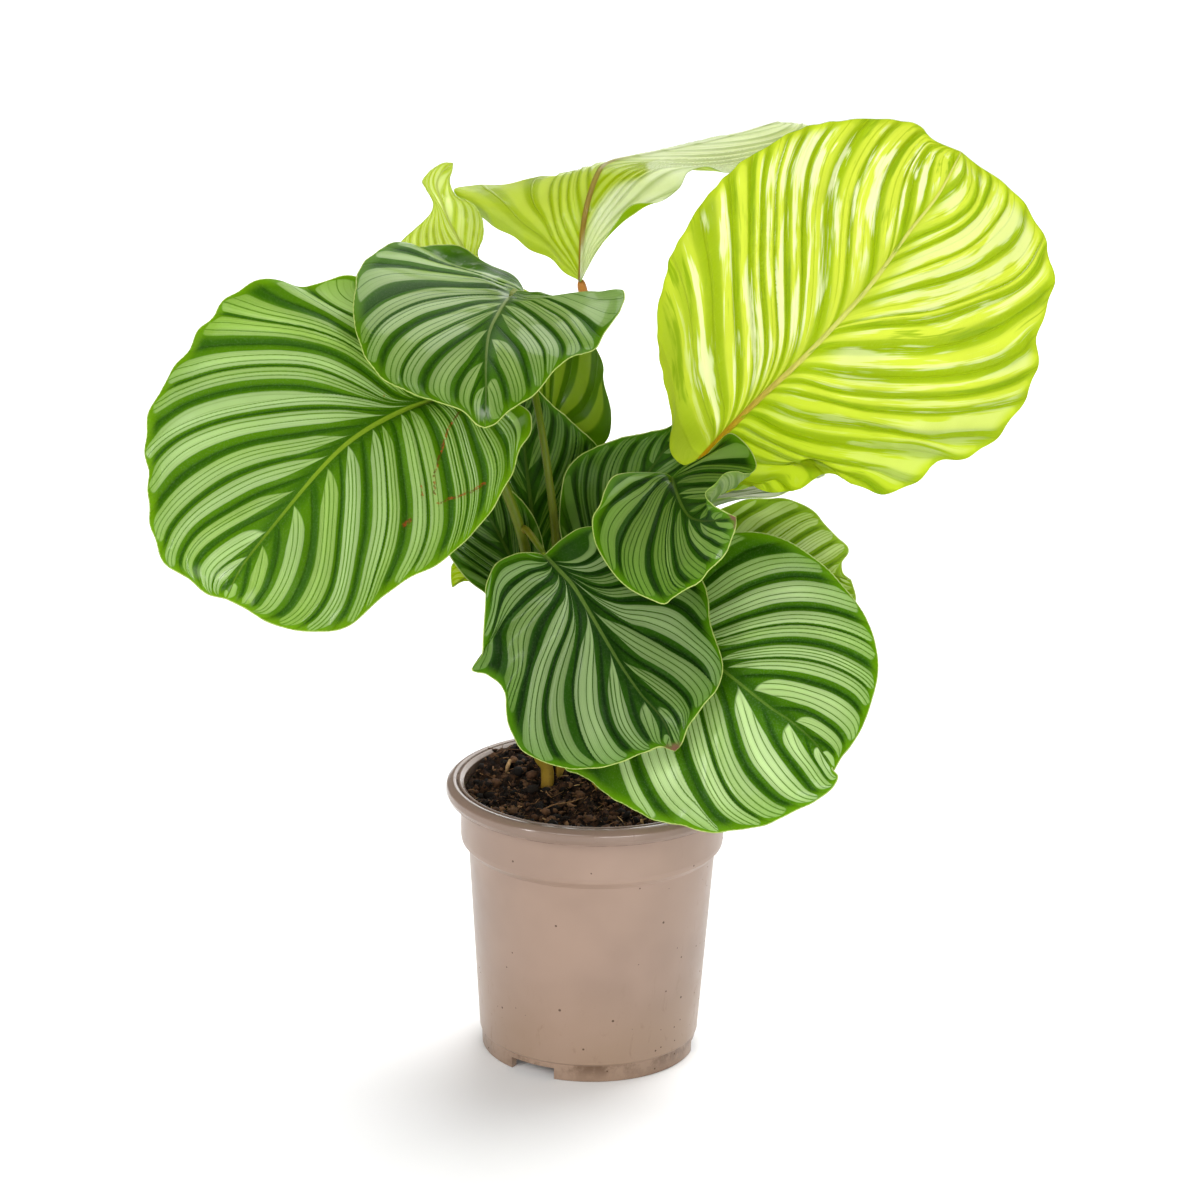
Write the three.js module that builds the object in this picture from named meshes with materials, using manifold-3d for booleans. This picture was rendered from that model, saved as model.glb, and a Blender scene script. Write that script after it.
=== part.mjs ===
// Potted calathea: round, silver-striped leaves on long leaf stalks, rising
// from a heap of peat in a round taupe plastic grower's pot.
// Units are millimetres, +Z is up, the pot's axis is the Z axis and the pot
// stands on z = 0. -Y is the side that faces the viewer.
import * as THREE from 'three';
import { mergeVertices } from 'three/addons/utils/BufferGeometryUtils.js';
import Module from 'manifold-3d';

// ---------------------------------------------------------------- dimensions
const POT_HEIGHT = 163;          // rim crest above the ground
const RIM_RADIUS = 85;           // outside of the turned-over rim (170 mm pot)
const RIM_DROP = 9.2;            // height of the rim's outer skirt
const COLLAR_RADIUS = 76.1;      // straight collar under the rim
const COLLAR_BOTTOM = 128;
const BODY_TOP_RADIUS = 71.4;    // body just under the collar's step
const BODY_BOTTOM_RADIUS = 63.7;
const RING_RADIUS = 62.6;        // foot ring, outside
const RING_INNER = 57.5;
const RING_HEIGHT = 10.5;
const WALL = 2.2;
const FLOOR_UNDER = 7.0;         // underside of the raised floor
const FLOOR_TOP = 9.2;
const FOOT_PAD_RADIUS = 14;      // middle of the floor reaches the ground
const NOTCH_ANGLES = [238.5, 358.5, 118.5];   // degrees, gaps in the foot ring
const NOTCH_WIDTH = 29;
const NOTCH_HEIGHT = 7.0;         // up to the underside of the floor
const DRAIN_COUNT = 6;
const DRAIN_RADIUS = 4.2;
const DRAIN_RING = 38;
const SOIL_GAP = 0.4;            // between soil and pot wall
const SOIL_LEVEL = 151;
const PETIOLE_GAP = 0.35;        // clearance of a stalk in its soil pocket
const PETIOLE_DEPTH = 9;         // how far a stalk goes down into the soil
const BLADE_THICKNESS = 1.1;
const BLADE_ROWS = 11;           // strips from stalk to tip
const BLADE_COLS = 4;            // strips from midrib to edge, each side
const STALK_SIDES = 8;
const STALK_STEP = 22;            // length of one straight piece of a stalk
const POT_SEGMENTS = 60;
const SOIL_SEGMENTS = 40;

// ------------------------------------------------------------------- colours
const POT_COLOR = 0xb09a8a;
const SOIL_COLOR = 0x3a2a20;
const STALK_COLOR = 0x8a9a3a;
const STALK_TAN = 0xb08a4a;
const LEAF_FRONT = 0x6f9f45;
const LEAF_LIT = 0xb4cf3c;
const LEAF_SHADE = 0x3f6b35;

// ------------------------------------------------------------- leaf outlines
// mid: the midrib from the stalk to the tip; left and right: the leaf's edge
// on each side of it (upper face towards the reader, tip up), from the stalk
// round to the tip. w0 is the part of each edge that is the rounded base lobe.
const LEAVES = [
  { name: 'left_large', w0: [0.22, 0.22],
    mid: [[-88.2, -22, 396], [-111.1, -34, 390.8], [-141, -54, 376.4], [-178, -78, 337.4], [-196.1, -88, 314.3], [-203.5, -92, 298.7]],
    left: [[-72.5, -26, 400.9], [-52.9, -32, 397.2], [-38.8, -38, 393.4], [-38, -44, 384.8], [-43.8, -50, 374.9], [-50.1, -57, 358.4], [-59.7, -63, 342.7], [-81.2, -74, 320.8], [-108.4, -81, 305.7], [-116.5, -84, 300.7], [-135.3, -92, 285], [-157.1, -96, 281.8], [-180.3, -95, 286.8], [-193.6, -93, 294]],
    right: [[-83.1, -12, 408.3], [-90.6, 4, 434], [-113.7, 16, 451.2], [-138, 18, 454.9], [-153, 16, 452.8], [-169.7, 13, 449.7], [-188.9, 8, 454.7], [-207.9, 0, 446.5], [-221.3, -8, 431.7], [-237.1, -20, 409.8], [-247.5, -30, 393.9], [-251.9, -38, 378.8], [-249.7, -52, 354], [-246.2, -68, 330.1], [-237.7, -78, 313.7], [-224, -84, 306.6], [-214.2, -89, 300.4]] },
  { name: 'top_front', w0: [0.22, 0.22],
    mid: [[-50, 36, 443.3], [-57.3, -10, 442.9], [-62, -38, 437.6], [-62.9, -60, 427], [-62.3, -75, 413.1], [-62.5, -82, 396.4]],
    left: [[-40.7, 22, 447.1], [-26.5, 8, 448.1], [-1.2, -8, 451.5], [11.4, -14, 458.5], [12.1, -20, 454.9], [7.9, -34, 445.9], [1.9, -42, 440.5], [-3.4, -50, 433.5], [-18.6, -58, 429.1], [-25.6, -62, 423.8], [-36.2, -70, 412.2], [-49.1, -77, 405.4], [-57.1, -81, 398.4]],
    right: [[-44.6, 48, 440.9], [-51.2, 60, 447.2], [-68.6, 66, 452.4], [-80.7, 66, 460.9], [-93.1, 61, 463.7], [-104.2, 55, 464.3], [-116.3, 46, 469.2], [-126.3, 30, 466.6], [-135.3, 10, 462.1], [-137.8, -14, 450.4], [-135.6, -34, 436.2], [-130, -45, 426.2], [-117.2, -58, 414.6], [-91.9, -71, 408.5], [-74.7, -78, 404], [-66.8, -82, 398]] },
  { name: 'right_tall', w0: [0.14, 0.14],
    mid: [[57.4, -2, 358.1], [69.7, -14, 375.9], [89.3, -28, 401.8], [108.2, -40, 424.4], [128.4, -50, 450.2], [147.3, -58, 476.3], [165.4, -64, 506.1], [180.1, -66, 527.3], [191.7, -64, 550.8]],
    left: [[55.5, -1, 346], [60.9, 2, 336.3], [69.9, 2, 338.3], [80.2, -5, 348.3], [90.1, -3, 341.4], [102.7, -1, 338.1], [112, -6, 341.6], [123.7, -14, 352.4], [133.1, -16, 354.4], [143, -14, 348.1], [157.4, -12, 342.5], [174.4, -16, 347.6], [186.3, -23, 361.6], [192.2, -25, 366.4], [206.1, -25, 367.9], [214, -27, 374.4], [225.6, -29, 386.9], [236.6, -32, 407], [241.2, -34, 423.7], [240.4, -38, 444.2], [247.2, -40, 470.4], [242.2, -46, 495.4], [231.5, -52, 515.6], [216.7, -58, 532.3], [200.7, -62, 543.4]],
    right: [[48, 2, 352.6], [40.5, 4, 359.6], [41.4, 4, 372.5], [37.5, 3, 393.2], [31.1, 2, 429.4], [34.3, 0, 460.5], [39.4, -4, 478.2], [50.9, -10, 502.1], [65.7, -18, 523.4], [77.8, -24, 535.7], [95.3, -32, 548.9], [111.6, -38, 558.3], [124.8, -44, 561.6], [138.6, -48, 564.4], [155, -54, 565.4], [170, -58, 562.7], [176, -61, 556.9]] },
  { name: 'top_back', w0: [0.25, 0.25],
    mid: [[-12.3, 58, 444.3], [-11.7, 52, 475.6], [-9.1, 52, 492], [-3.8, 60, 506.4], [1.8, 74, 509.1], [20.1, 100, 508.3], [49.1, 124, 509.4], [78.4, 140, 513.5], [100.7, 150, 518.9]],
    left: [[-9, 54, 452.4], [-2.9, 48, 465.1], [5.8, 44, 480.8], [15.8, 44, 492], [29.9, 50, 493.2], [42.3, 60, 499.2], [47.4, 72, 505.8], [58.4, 84, 506.2], [70.3, 96, 500.8], [83.8, 110, 500.2], [100.3, 124, 504.5], [113.3, 136, 511.5], [117.9, 142, 518.6], [111.7, 147, 518.6]],
    right: [[-22.1, 60, 448.9], [-30.3, 64, 456], [-41.9, 70, 459.5], [-51.9, 77, 465.3], [-60.1, 84, 468.1], [-69.6, 92, 471.3], [-79.6, 98, 477.4], [-86.8, 102, 485.7], [-75.6, 113, 485.8], [-60.7, 120, 485.6], [-43.5, 128, 487.1], [-23.8, 136, 487.4], [-2.9, 146, 490.3], [20.5, 154, 495], [49.8, 160, 500.8], [73.2, 161, 507.6]] },
  { name: 'back_left_curled', w0: [0.2, 0.2],
    mid: [[-25.1, 36, 364.9], [-46.4, 52, 398.6], [-64.6, 76, 427.5], [-81.4, 88, 456.1], [-89.2, 92, 470.3], [-93.3, 94, 480.4], [-96.4, 97, 489.1], [-94.3, 100, 495.5], [-87.5, 103, 501.4]],
    left: [[-14.1, 36, 356.2], [-2.5, 34, 352.3], [4.8, 32, 359], [6.2, 32, 374.4], [1.9, 34, 392.7], [1.1, 36, 401], [-4.2, 40, 411.5], [-17.1, 54, 423.5], [-35.7, 68, 431.3], [-56.2, 80, 439.7], [-72.1, 86, 450.9], [-69.2, 84, 462], [-69.3, 83, 471.7], [-73.5, 85, 479.4], [-79.9, 88, 483.3], [-85.2, 92, 484.6], [-87.7, 94, 488.8], [-88.9, 96, 493], [-87.9, 100, 497.4]],
    right: [[-34.2, 38, 362.4], [-51.7, 46, 370.5], [-75.1, 58, 384.5], [-99, 74, 409.5], [-114.1, 88, 435.3], [-118, 94, 453.9], [-109.4, 94, 463.6], [-103.6, 94, 469], [-99.1, 94, 475], [-98.6, 95, 480.1], [-102.2, 98, 485.8], [-105.2, 100, 490.6], [-102.4, 102, 494.9], [-97.3, 103, 498.9], [-92.7, 104, 501.1]] },
  { name: 'back_centre', w0: [0.22, 0.22],
    mid: [[-28.2, 26, 278], [-36.1, 28, 304.3], [-40.5, 30, 333.6], [-43.2, 32, 356.8], [-43.4, 30, 381.1], [-41.3, 28, 396.4]],
    left: [[-38.6, 28, 275.3], [-53.1, 30, 279.2], [-65.4, 32, 296.5], [-71.4, 34, 319.8], [-70.6, 34, 346.7], [-62.7, 32, 371.3], [-52.7, 30, 389.8]],
    right: [[-18.4, 26, 278.2], [-4.2, 26, 287.5], [4.6, 26, 311.8], [6.4, 26, 335.7], [-1.4, 25, 356.1], [-17, 25, 371.2], [-33.2, 26, 385.9]] },
  { name: 'back_right', w0: [0.22, 0.22],
    mid: [[1.9, 18, 272.1], [8.3, 18, 299.3], [16.9, 18, 323.5], [29, 19, 344.2], [41.2, 21, 361.7], [51.2, 24, 372.9]],
    left: [[-3.9, 18, 275], [-14.4, 17, 287.2], [-21.6, 15, 308.7], [-21.3, 13, 329], [-18.7, 12, 344.8], [-10.4, 12, 354.4], [0.3, 12, 360.5], [13.3, 13, 365.2], [24, 15, 366.6], [37.6, 18, 369.6], [45.5, 22, 373.3]],
    right: [[12.2, 18, 273.5], [30.4, 20, 284.1], [47.2, 22, 298.9], [59.4, 24, 319.5], [64.5, 26, 342.9], [61.7, 26, 363.6]] },
  { name: 'lower_left', w0: [0.22, 0.22],
    mid: [[-39.2, 12, 260], [-43.9, 8, 279.3], [-50.9, 4, 298.4], [-60.2, 2, 316.7], [-69.5, 4, 330.8], [-77.6, 8, 339.5]],
    left: [[-47.2, 12, 259.2], [-55.8, 9, 265.5], [-63.2, 6, 272.3], [-72.9, 2, 281.2], [-83.8, 0, 296.6], [-89.1, 2, 310.2], [-89.3, 5, 323.5], [-84.4, 8, 334.6]],
    right: [[-33, 14, 267.9], [-30.4, 14, 286], [-32.4, 13, 306.1], [-41.2, 12, 324.1], [-55, 11, 336.6], [-68.6, 10, 341.4]] },
  { name: 'front_centre', w0: [0.17, 0.2],
    mid: [[-29.8, -40, 311], [-22.3, -50, 306.7], [-13.8, -58, 300.1], [-5.1, -66, 288.9], [4.6, -74, 274.8], [14.9, -81, 259.8], [25.2, -86, 246.5], [38.2, -89, 231.9], [45.3, -89, 213.7]],
    left: [[-26, -38, 314], [-19.4, -32, 318.7], [-11.1, -28, 322.9], [-2.7, -25, 323.9], [15.3, -26, 323.4], [35, -30, 318], [50.8, -38, 310.2], [59.4, -46, 298.9], [62.3, -52, 290.3], [63, -57, 282], [65.3, -63, 274], [70.5, -70, 262.4], [70.6, -74, 255.5], [67.4, -79, 246.6], [60.9, -83, 239.1], [52.8, -87, 228.5], [48.6, -89, 217.4]],
    right: [[-33.7, -40, 312.1], [-45.5, -38, 310.7], [-56.6, -40, 305.2], [-60.9, -44, 297.6], [-62.3, -48, 287.1], [-62.6, -52, 274.2], [-64.1, -54, 256], [-69.1, -52, 246.3], [-61.1, -58, 246.1], [-53.6, -62, 242.9], [-50.1, -66, 237.9], [-49.4, -68, 227.9], [-43.4, -74, 211.2], [-34.9, -78, 205.1], [-20.2, -82, 200.9], [-6.8, -84, 200.2], [6, -88, 203.1], [19.3, -90, 208.8], [28.6, -90, 212.6], [36.9, -90, 216.3]] },
  { name: 'front_small', w0: [0.16, 0.16],
    mid: [[41.1, -20, 352], [43.1, -44, 351.1], [46.3, -64, 348.6], [50.5, -82, 347.9], [56.8, -96, 350], [65.2, -108, 354.5], [74.7, -115, 358.5]],
    left: [[48.3, -16, 357.4], [57.7, -16, 361.7], [62.5, -18, 368.2], [69.5, -24, 376.5], [74.2, -31, 380.9], [79.6, -40, 379.6], [84.5, -50, 376.3], [86.5, -61, 372.7], [84.7, -70, 370.1], [80.1, -77, 371.6], [74.4, -83, 375], [68.3, -89, 374.9], [65, -94, 371.8], [58.5, -98, 366.6], [61.8, -104, 362.8], [67.1, -110, 360.8]],
    right: [[37.7, -18, 353.1], [20.3, -18, 353.3], [8.5, -24, 353.1], [3.6, -33, 347.6], [1, -41, 341.2], [-2.8, -46, 335.7], [-2, -56, 326.6], [2.6, -67, 319.7], [12.3, -82, 310.8], [21.1, -91, 306.9], [30.5, -98, 304.8], [37, -103, 304.3], [41.8, -107, 308.6], [49.3, -111, 315.2], [56.7, -113, 321.1], [60.3, -114, 327.2], [69.3, -115, 337.4], [72.8, -115, 346.6], [74.8, -115, 354]] },
  { name: 'right_low', w0: [0.2, 0.2],
    mid: [[24.8, -16, 270.6], [47.4, -40, 263.6], [71.5, -60, 251.9], [85.5, -70, 243.8], [98.3, -78, 236.3], [110, -84, 230.4], [122.9, -90, 220.4], [133.8, -93, 205.2]],
    left: [[25.8, -12, 279.4], [32.8, -8, 296.2], [52.3, -8, 310.2], [78.1, -12, 317.3], [93.2, -16, 318.9], [107.7, -22, 315.7], [124, -30, 307.4], [137.6, -38, 296.1], [148.8, -46, 283.6], [155.6, -54, 271.1], [158, -62, 256.1], [156.5, -68, 244.6], [151, -76, 229.5], [143.3, -84, 216.9], [138.2, -89, 212.1]],
    right: [[16.5, -16, 262.6], [0.3, -18, 248], [-12.9, -24, 225.7], [-19.3, -32, 201.3], [-15.5, -42, 185], [-6.9, -49, 183.6], [6.3, -63, 178.8], [19.9, -76, 175], [36.2, -88, 172.1], [50.7, -96, 171.9], [65.7, -100, 170.2], [78.4, -102, 171.8], [95, -102, 175.7], [110.9, -101, 182.8], [125.3, -98, 190.3], [133.5, -95, 196.4], [136.1, -94, 202.6]] },
  { name: 'right_middle', w0: [0.2, 0.2],
    mid: [[53, 14, 292.5], [73, 10, 293], [92.9, 6, 292.3], [112.6, 0, 292.2], [129.5, -5, 291.8], [144.2, -9, 289.8]],
    left: [[52.9, 18, 300.2], [60.7, 24, 312.3], [70.9, 27, 319.4], [85.6, 28, 325.4], [97.5, 26, 326.8], [108.8, 22, 327.1], [118.4, 16, 325.5], [124, 11, 323], [128.6, 7, 317.8], [135.4, 2, 312.3], [142.2, -2, 306.6], [141.7, -4, 303], [139, -4, 298.2], [139.7, -6, 292.9]],
    right: [[54.4, 12, 281.2], [61.6, 8, 267.6], [76.7, 4, 255.3], [96.8, 0, 248.6], [116.6, -4, 251.6], [133.2, -9, 260.8], [144.2, -11, 271.3], [147.3, -11, 279.2]] },
  { name: 'right_back', w0: [0.2, 0.2],
    mid: [[42.4, 42, 316.6], [58.7, 54, 319.3], [79.2, 70, 321.6], [100.1, 90, 322.1], [118.4, 108, 320.8], [132.1, 124, 317.5]],
    left: [[40.1, 50, 319], [42.5, 70, 323.3], [55.6, 96, 326.7], [77.2, 120, 327.5], [101.4, 136, 325.7], [122.9, 136, 321.2]],
    right: [[47.1, 38, 312.5], [61.8, 36, 319.5], [66.9, 36, 322], [84.3, 40, 322.3], [100.2, 50, 320.2], [116.9, 68, 321.1], [132.1, 96, 320.3]] },
  { name: 'left_back_small', w0: [0.2, 0.2],
    mid: [[-43.3, 44, 257.8], [-55.1, 48, 262.4], [-66.9, 54, 265.1], [-76.3, 58, 264.8], [-84.5, 60, 258.5]],
    left: [[-44.3, 40, 254.2], [-54.8, 42, 257], [-65.5, 48, 261], [-75, 54, 264.3], [-80.4, 58, 261.7]],
    right: [[-43.5, 50, 262], [-51.9, 58, 272.1], [-65.5, 62, 277.9], [-77.8, 63, 276.1], [-84.1, 62, 272], [-85.2, 61, 265.5]] },];

// -------------------------------------------------------------- leaf stalks
// foot: where the stalk stands in the soil (x, y); path: the rest of its way
// up to the blade.
const PETIOLES = [
  { name: 'left_large', foot: [-27, 6], radius: [3.4, 2.9], path: [[-31.5, 4, 175.7], [-37.4, -6, 243.1], [-40.4, -12, 302.5], [-52.1, -14, 340.7], [-68.2, -14, 375.5], [-82.9, -15, 391.8]] },
  { name: 'top_front', foot: [-19, 20], radius: [3.0, 2.2], path: [[-18.5, 19, 176.7], [-20.2, 15, 218], [-22, 9, 268.6], [-24.4, 6, 311.4], [-28.2, 6, 341.1], [-33.9, 9, 375.4], [-43.8, 24, 415.1], [-49.4, 34, 439.8]] },
  { name: 'front_centre', foot: null, radius: [1.7, 1.6], path: [[-38.8, -18, 319.8], [-34.6, -26, 314.1], [-30.5, -34, 310.3]] },
  { name: 'right_low', foot: [-9, 27], radius: [2.6, 2.1], path: [[-5.1, 20, 176.6], [-2, 8, 202.5], [3.9, -4, 231.2], [11.6, -9, 251.1], [20.4, -10, 262.5]] },
  { name: 'front_small', foot: [2, 4], radius: [2.4, 1.8], path: [[6.6, 6, 209.5], [18.3, 2, 253.6], [31, -3, 303.5], [39.1, -11, 341.6]] },
  { name: 'right_tall', foot: [11, 12], radius: [3.2, 2.8], path: [[15.8, 13, 207.2], [29.6, 11, 262.9], [44, 7, 309.5], [53.4, 4, 342.1], [55.9, 2, 352.2]] },
  { name: 'right_middle', foot: [18, 22], radius: [2.3, 1.9], path: [[21.7, 24, 203.4], [36.8, 24, 252.7], [49.8, 19, 284.8]] },
  { name: 'back_right', foot: [4, 26], radius: [2.5, 2.2], path: [[4.2, 27, 208.2], [2, 25, 263.8]] },
  { name: 'back_centre', foot: [-27, 22], radius: [2.6, 2.3], path: [[-29, 30, 212.6], [-28.2, 32, 270]] },
  { name: 'back_left_curled', foot: [-17, 30], radius: [2.6, 2.1], path: [[-19.2, 42, 202.4], [-18.9, 46, 256.5], [-21, 46, 317.1], [-24.5, 42, 356.7]] },
  { name: 'top_back', foot: [-6, 38], radius: [2.8, 2.4], path: [[-5.8, 50, 199.9], [-3.8, 56, 253.5], [-4.5, 60, 325.3], [-7.3, 62, 384.7], [-9.9, 62, 432.2], [-11.7, 61, 440]] },
  { name: 'lower_left', foot: [-28.5, 15], radius: [2.0, 1.7], path: [[-30.7, 17, 180.2], [-35.1, 17, 210.9], [-37.8, 15, 235.9], [-38.8, 13, 256]] },
  { name: 'right_back', foot: [14, 38], radius: [2.2, 1.9], path: [[21.7, 46, 201.9], [34, 50, 256.2], [40.3, 48, 308.7]] },
  { name: 'left_back_small', foot: [-33, 32], radius: [1.8, 1.6], path: [[-41.4, 44, 201.3], [-43.3, 45, 253.8]] },];

const BLADE_COLOR = {
  left_large: LEAF_FRONT, top_front: LEAF_FRONT, right_tall: LEAF_LIT,
  top_back: LEAF_LIT, back_left_curled: LEAF_LIT, back_centre: LEAF_SHADE,
  back_right: LEAF_SHADE, lower_left: LEAF_SHADE, front_centre: LEAF_FRONT,
  front_small: LEAF_FRONT, right_low: LEAF_FRONT, right_middle: LEAF_FRONT,
  right_back: LEAF_SHADE, left_back_small: LEAF_LIT,
};

const wasm = await Module();
wasm.setup();

// -------------------------------------------------------------------- helpers
const v3 = (p) => new THREE.Vector3(p[0], p[1], p[2]);

// A smooth curve through the points, sampled by the fraction of its length.
function through(points) {
  const curve = new THREE.CatmullRomCurve3(points, false, 'centripetal');
  curve.arcLengthDivisions = 400;
  return (w) => curve.getPointAt(Math.min(1, Math.max(0, w)));
}

function solidOf(geometry) {
  const g = geometry.clone();
  g.deleteAttribute('normal');
  g.deleteAttribute('uv');
  const m = mergeVertices(g, 1e-3);
  return new wasm.Manifold(new wasm.Mesh({
    numProp: 3,
    vertProperties: new Float32Array(m.attributes.position.array),
    triVerts: new Uint32Array(m.index.array),
  }));
}

function geometryOf(solid) {
  const mesh = solid.getMesh();
  const g = new THREE.BufferGeometry();
  const n = mesh.numProp;
  const count = mesh.vertProperties.length / n;
  const pos = new Float32Array(count * 3);
  for (let i = 0; i < count; i++) {
    for (let k = 0; k < 3; k++) pos[3 * i + k] = mesh.vertProperties[n * i + k];
  }
  g.setAttribute('position', new THREE.BufferAttribute(pos, 3));
  g.setIndex(new THREE.BufferAttribute(new Uint32Array(mesh.triVerts), 1));
  g.computeVertexNormals();
  return g;
}

// LatheGeometry turns about Y; stand it up on Z.
function lathe(profile, segments) {
  const g = new THREE.LatheGeometry(profile.map(([r, z]) => new THREE.Vector2(r, z)), segments);
  g.rotateX(Math.PI / 2);
  return g;
}

const group = new THREE.Group();
group.name = 'potted_calathea';

function add(name, geometry, color, roughness = 0.6) {
  const material = new THREE.MeshStandardMaterial({ color, roughness, metalness: 0, side: THREE.DoubleSide });
  const mesh = new THREE.Mesh(geometry, material);
  mesh.name = name;
  group.add(mesh);
  return mesh;
}

// ------------------------------------------------------------------------ pot
// One moulded shell: foot ring, raised floor with a middle pad, tapered body,
// step, straight collar and the turned-over rim with its open underside.
const H = POT_HEIGHT;
const skirtBottom = H - RIM_DROP;
const potProfile = [
  [0, 0], [FOOT_PAD_RADIUS, 0], [FOOT_PAD_RADIUS + 0.6, FLOOR_UNDER],
  [RING_INNER - 0.8, FLOOR_UNDER], [RING_INNER, 0], [RING_RADIUS - 0.4, 0],
  [RING_RADIUS, RING_HEIGHT], [BODY_BOTTOM_RADIUS, RING_HEIGHT + 1.2],
  [BODY_TOP_RADIUS, COLLAR_BOTTOM - 4.4], [COLLAR_RADIUS - 0.4, COLLAR_BOTTOM],
  [COLLAR_RADIUS, COLLAR_BOTTOM + 2], [COLLAR_RADIUS + 0.2, H - 4.2],
  [RIM_RADIUS - 2.4, H - 4.2], [RIM_RADIUS - 2.2, skirtBottom],
  [RIM_RADIUS - 0.2, skirtBottom], [RIM_RADIUS, H - 4.6],
  [RIM_RADIUS - 1.2, H - 1.3], [RIM_RADIUS - 3.6, H],
  [COLLAR_RADIUS + 1.2, H - 0.3], [COLLAR_RADIUS - WALL, H - 3.2],
  [COLLAR_RADIUS - WALL - 0.2, COLLAR_BOTTOM + 1.2],
  [BODY_TOP_RADIUS - WALL, COLLAR_BOTTOM - 3.8],
  [BODY_BOTTOM_RADIUS - WALL, RING_HEIGHT + 3], [BODY_BOTTOM_RADIUS - WALL - 2, FLOOR_TOP],
  [0, FLOOR_TOP],
];
let pot = solidOf(lathe(potProfile, POT_SEGMENTS));
for (const a of NOTCH_ANGLES) {
  const t = THREE.MathUtils.degToRad(a);
  const box = new THREE.BoxGeometry(10.6, NOTCH_WIDTH, NOTCH_HEIGHT + 10);
  box.translate(RING_INNER + 2.6, 0, (NOTCH_HEIGHT - 10) / 2);
  box.rotateZ(t);
  pot = pot.subtract(solidOf(box));
}
for (let i = 0; i < DRAIN_COUNT; i++) {
  const t = (2 * Math.PI * (i + 0.5)) / DRAIN_COUNT;
  const hole = new THREE.CylinderGeometry(DRAIN_RADIUS, DRAIN_RADIUS, 8, 12);
  hole.rotateX(Math.PI / 2);
  hole.translate(DRAIN_RING * Math.cos(t), DRAIN_RING * Math.sin(t), (FLOOR_UNDER + FLOOR_TOP) / 2);
  pot = pot.subtract(solidOf(hole));
}
add('pot', geometryOf(pot), POT_COLOR, 0.45);

// ----------------------------------------------------------------------- soil
// Peat fills the pot to a little under the rim, heaped round the stalks and at
// the back left.
function soilHeight(x, y) {
  const heap = (cx, cy, s, h) => h * Math.exp(-((x - cx) ** 2 + (y - cy) ** 2) / (2 * s * s));
  return SOIL_LEVEL + heap(-14, 18, 26, 6) + heap(-50, 40, 17, 9)
    + 0.9 * Math.sin(0.31 * x + 1.3) * Math.cos(0.27 * y - 0.4)
    + 0.5 * Math.sin(0.63 * y + 0.2 * x);
}
const wallAt = (z) => {
  // inner radius of the pot at height z, between the profile's corners
  const pts = [[FLOOR_TOP, BODY_BOTTOM_RADIUS - WALL - 2], [RING_HEIGHT + 3, BODY_BOTTOM_RADIUS - WALL],
    [COLLAR_BOTTOM - 3.8, BODY_TOP_RADIUS - WALL], [COLLAR_BOTTOM + 1.2, COLLAR_RADIUS - WALL - 0.2],
    [H - 3.2, COLLAR_RADIUS - WALL], [H, COLLAR_RADIUS - WALL]];
  for (let i = 1; i < pts.length; i++) {
    if (z <= pts[i][0]) {
      const t = (z - pts[i - 1][0]) / (pts[i][0] - pts[i - 1][0]);
      return pts[i - 1][1] + t * (pts[i][1] - pts[i - 1][1]);
    }
  }
  return COLLAR_RADIUS - WALL;
};
const flat = Math.cos(Math.PI / POT_SEGMENTS);       // a facet's middle lies inside the circle
const soilSide = [FLOOR_TOP + SOIL_GAP, RING_HEIGHT + 3, COLLAR_BOTTOM - 3.8, COLLAR_BOTTOM + 1.2]
  .map((z) => [wallAt(z) * flat - SOIL_GAP, z]);
const topRadius = (COLLAR_RADIUS - WALL) * flat - SOIL_GAP - 0.3;
const soilProfile = [[0, FLOOR_TOP + SOIL_GAP], ...soilSide,
  [topRadius, 149.0], ...[68, 58, 47, 36, 24, 12].map((r) => [r, 150.5]), [0, 150.5]];
const soilGeo = lathe(soilProfile, SOIL_SEGMENTS);
{
  const p = soilGeo.attributes.position;
  for (let i = 0; i < p.count; i++) {
    const z = p.getZ(i);
    if (z > 148) p.setZ(i, soilHeight(p.getX(i), p.getY(i)) - (z < 149.5 ? 1.5 : 0));
  }
}
let soil = solidOf(soilGeo);

// -------------------------------------------------------------------- stalks
function stalk(path, r) {
  const curve = new THREE.CatmullRomCurve3(path, false, 'centripetal');
  const section = new THREE.Shape();
  for (let k = 0; k < STALK_SIDES; k++) {
    const t = (2 * Math.PI * (k + 0.5)) / STALK_SIDES;
    const q = [r * Math.cos(t), r * Math.sin(t)];
    if (k === 0) section.moveTo(...q); else section.lineTo(...q);
  }
  section.closePath();
  const steps = Math.max(3, Math.round(curve.getLength() / STALK_STEP));
  return new THREE.ExtrudeGeometry(section, { steps, bevelEnabled: false, extrudePath: curve });
}
for (const s of PETIOLES) {
  const pts = s.path.map(v3);
  if (s.foot) {
    const z = soilHeight(s.foot[0], s.foot[1]);
    pts.unshift(new THREE.Vector3(s.foot[0], s.foot[1], z + 12));
    pts.unshift(new THREE.Vector3(s.foot[0], s.foot[1], z - PETIOLE_DEPTH));
  }
  const r = (s.radius[0] + s.radius[1]) / 2;
  const geometry = stalk(pts, r);
  if (s.foot) {
    const x = s.foot[0], y = s.foot[1], z = soilHeight(x, y);
    const pocket = new THREE.CylinderGeometry(r + PETIOLE_GAP + 0.2, r + PETIOLE_GAP + 0.2, PETIOLE_DEPTH + 30, 12);
    pocket.rotateX(Math.PI / 2);
    pocket.translate(x, y, z - PETIOLE_DEPTH - PETIOLE_GAP + (PETIOLE_DEPTH + 30) / 2);
    soil = soil.subtract(solidOf(pocket));
  }
  add('petiole_' + s.name, geometry, /back/.test(s.name) ? STALK_TAN : STALK_COLOR, 0.55);
}
add('soil', geometryOf(soil), SOIL_COLOR, 1);

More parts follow.
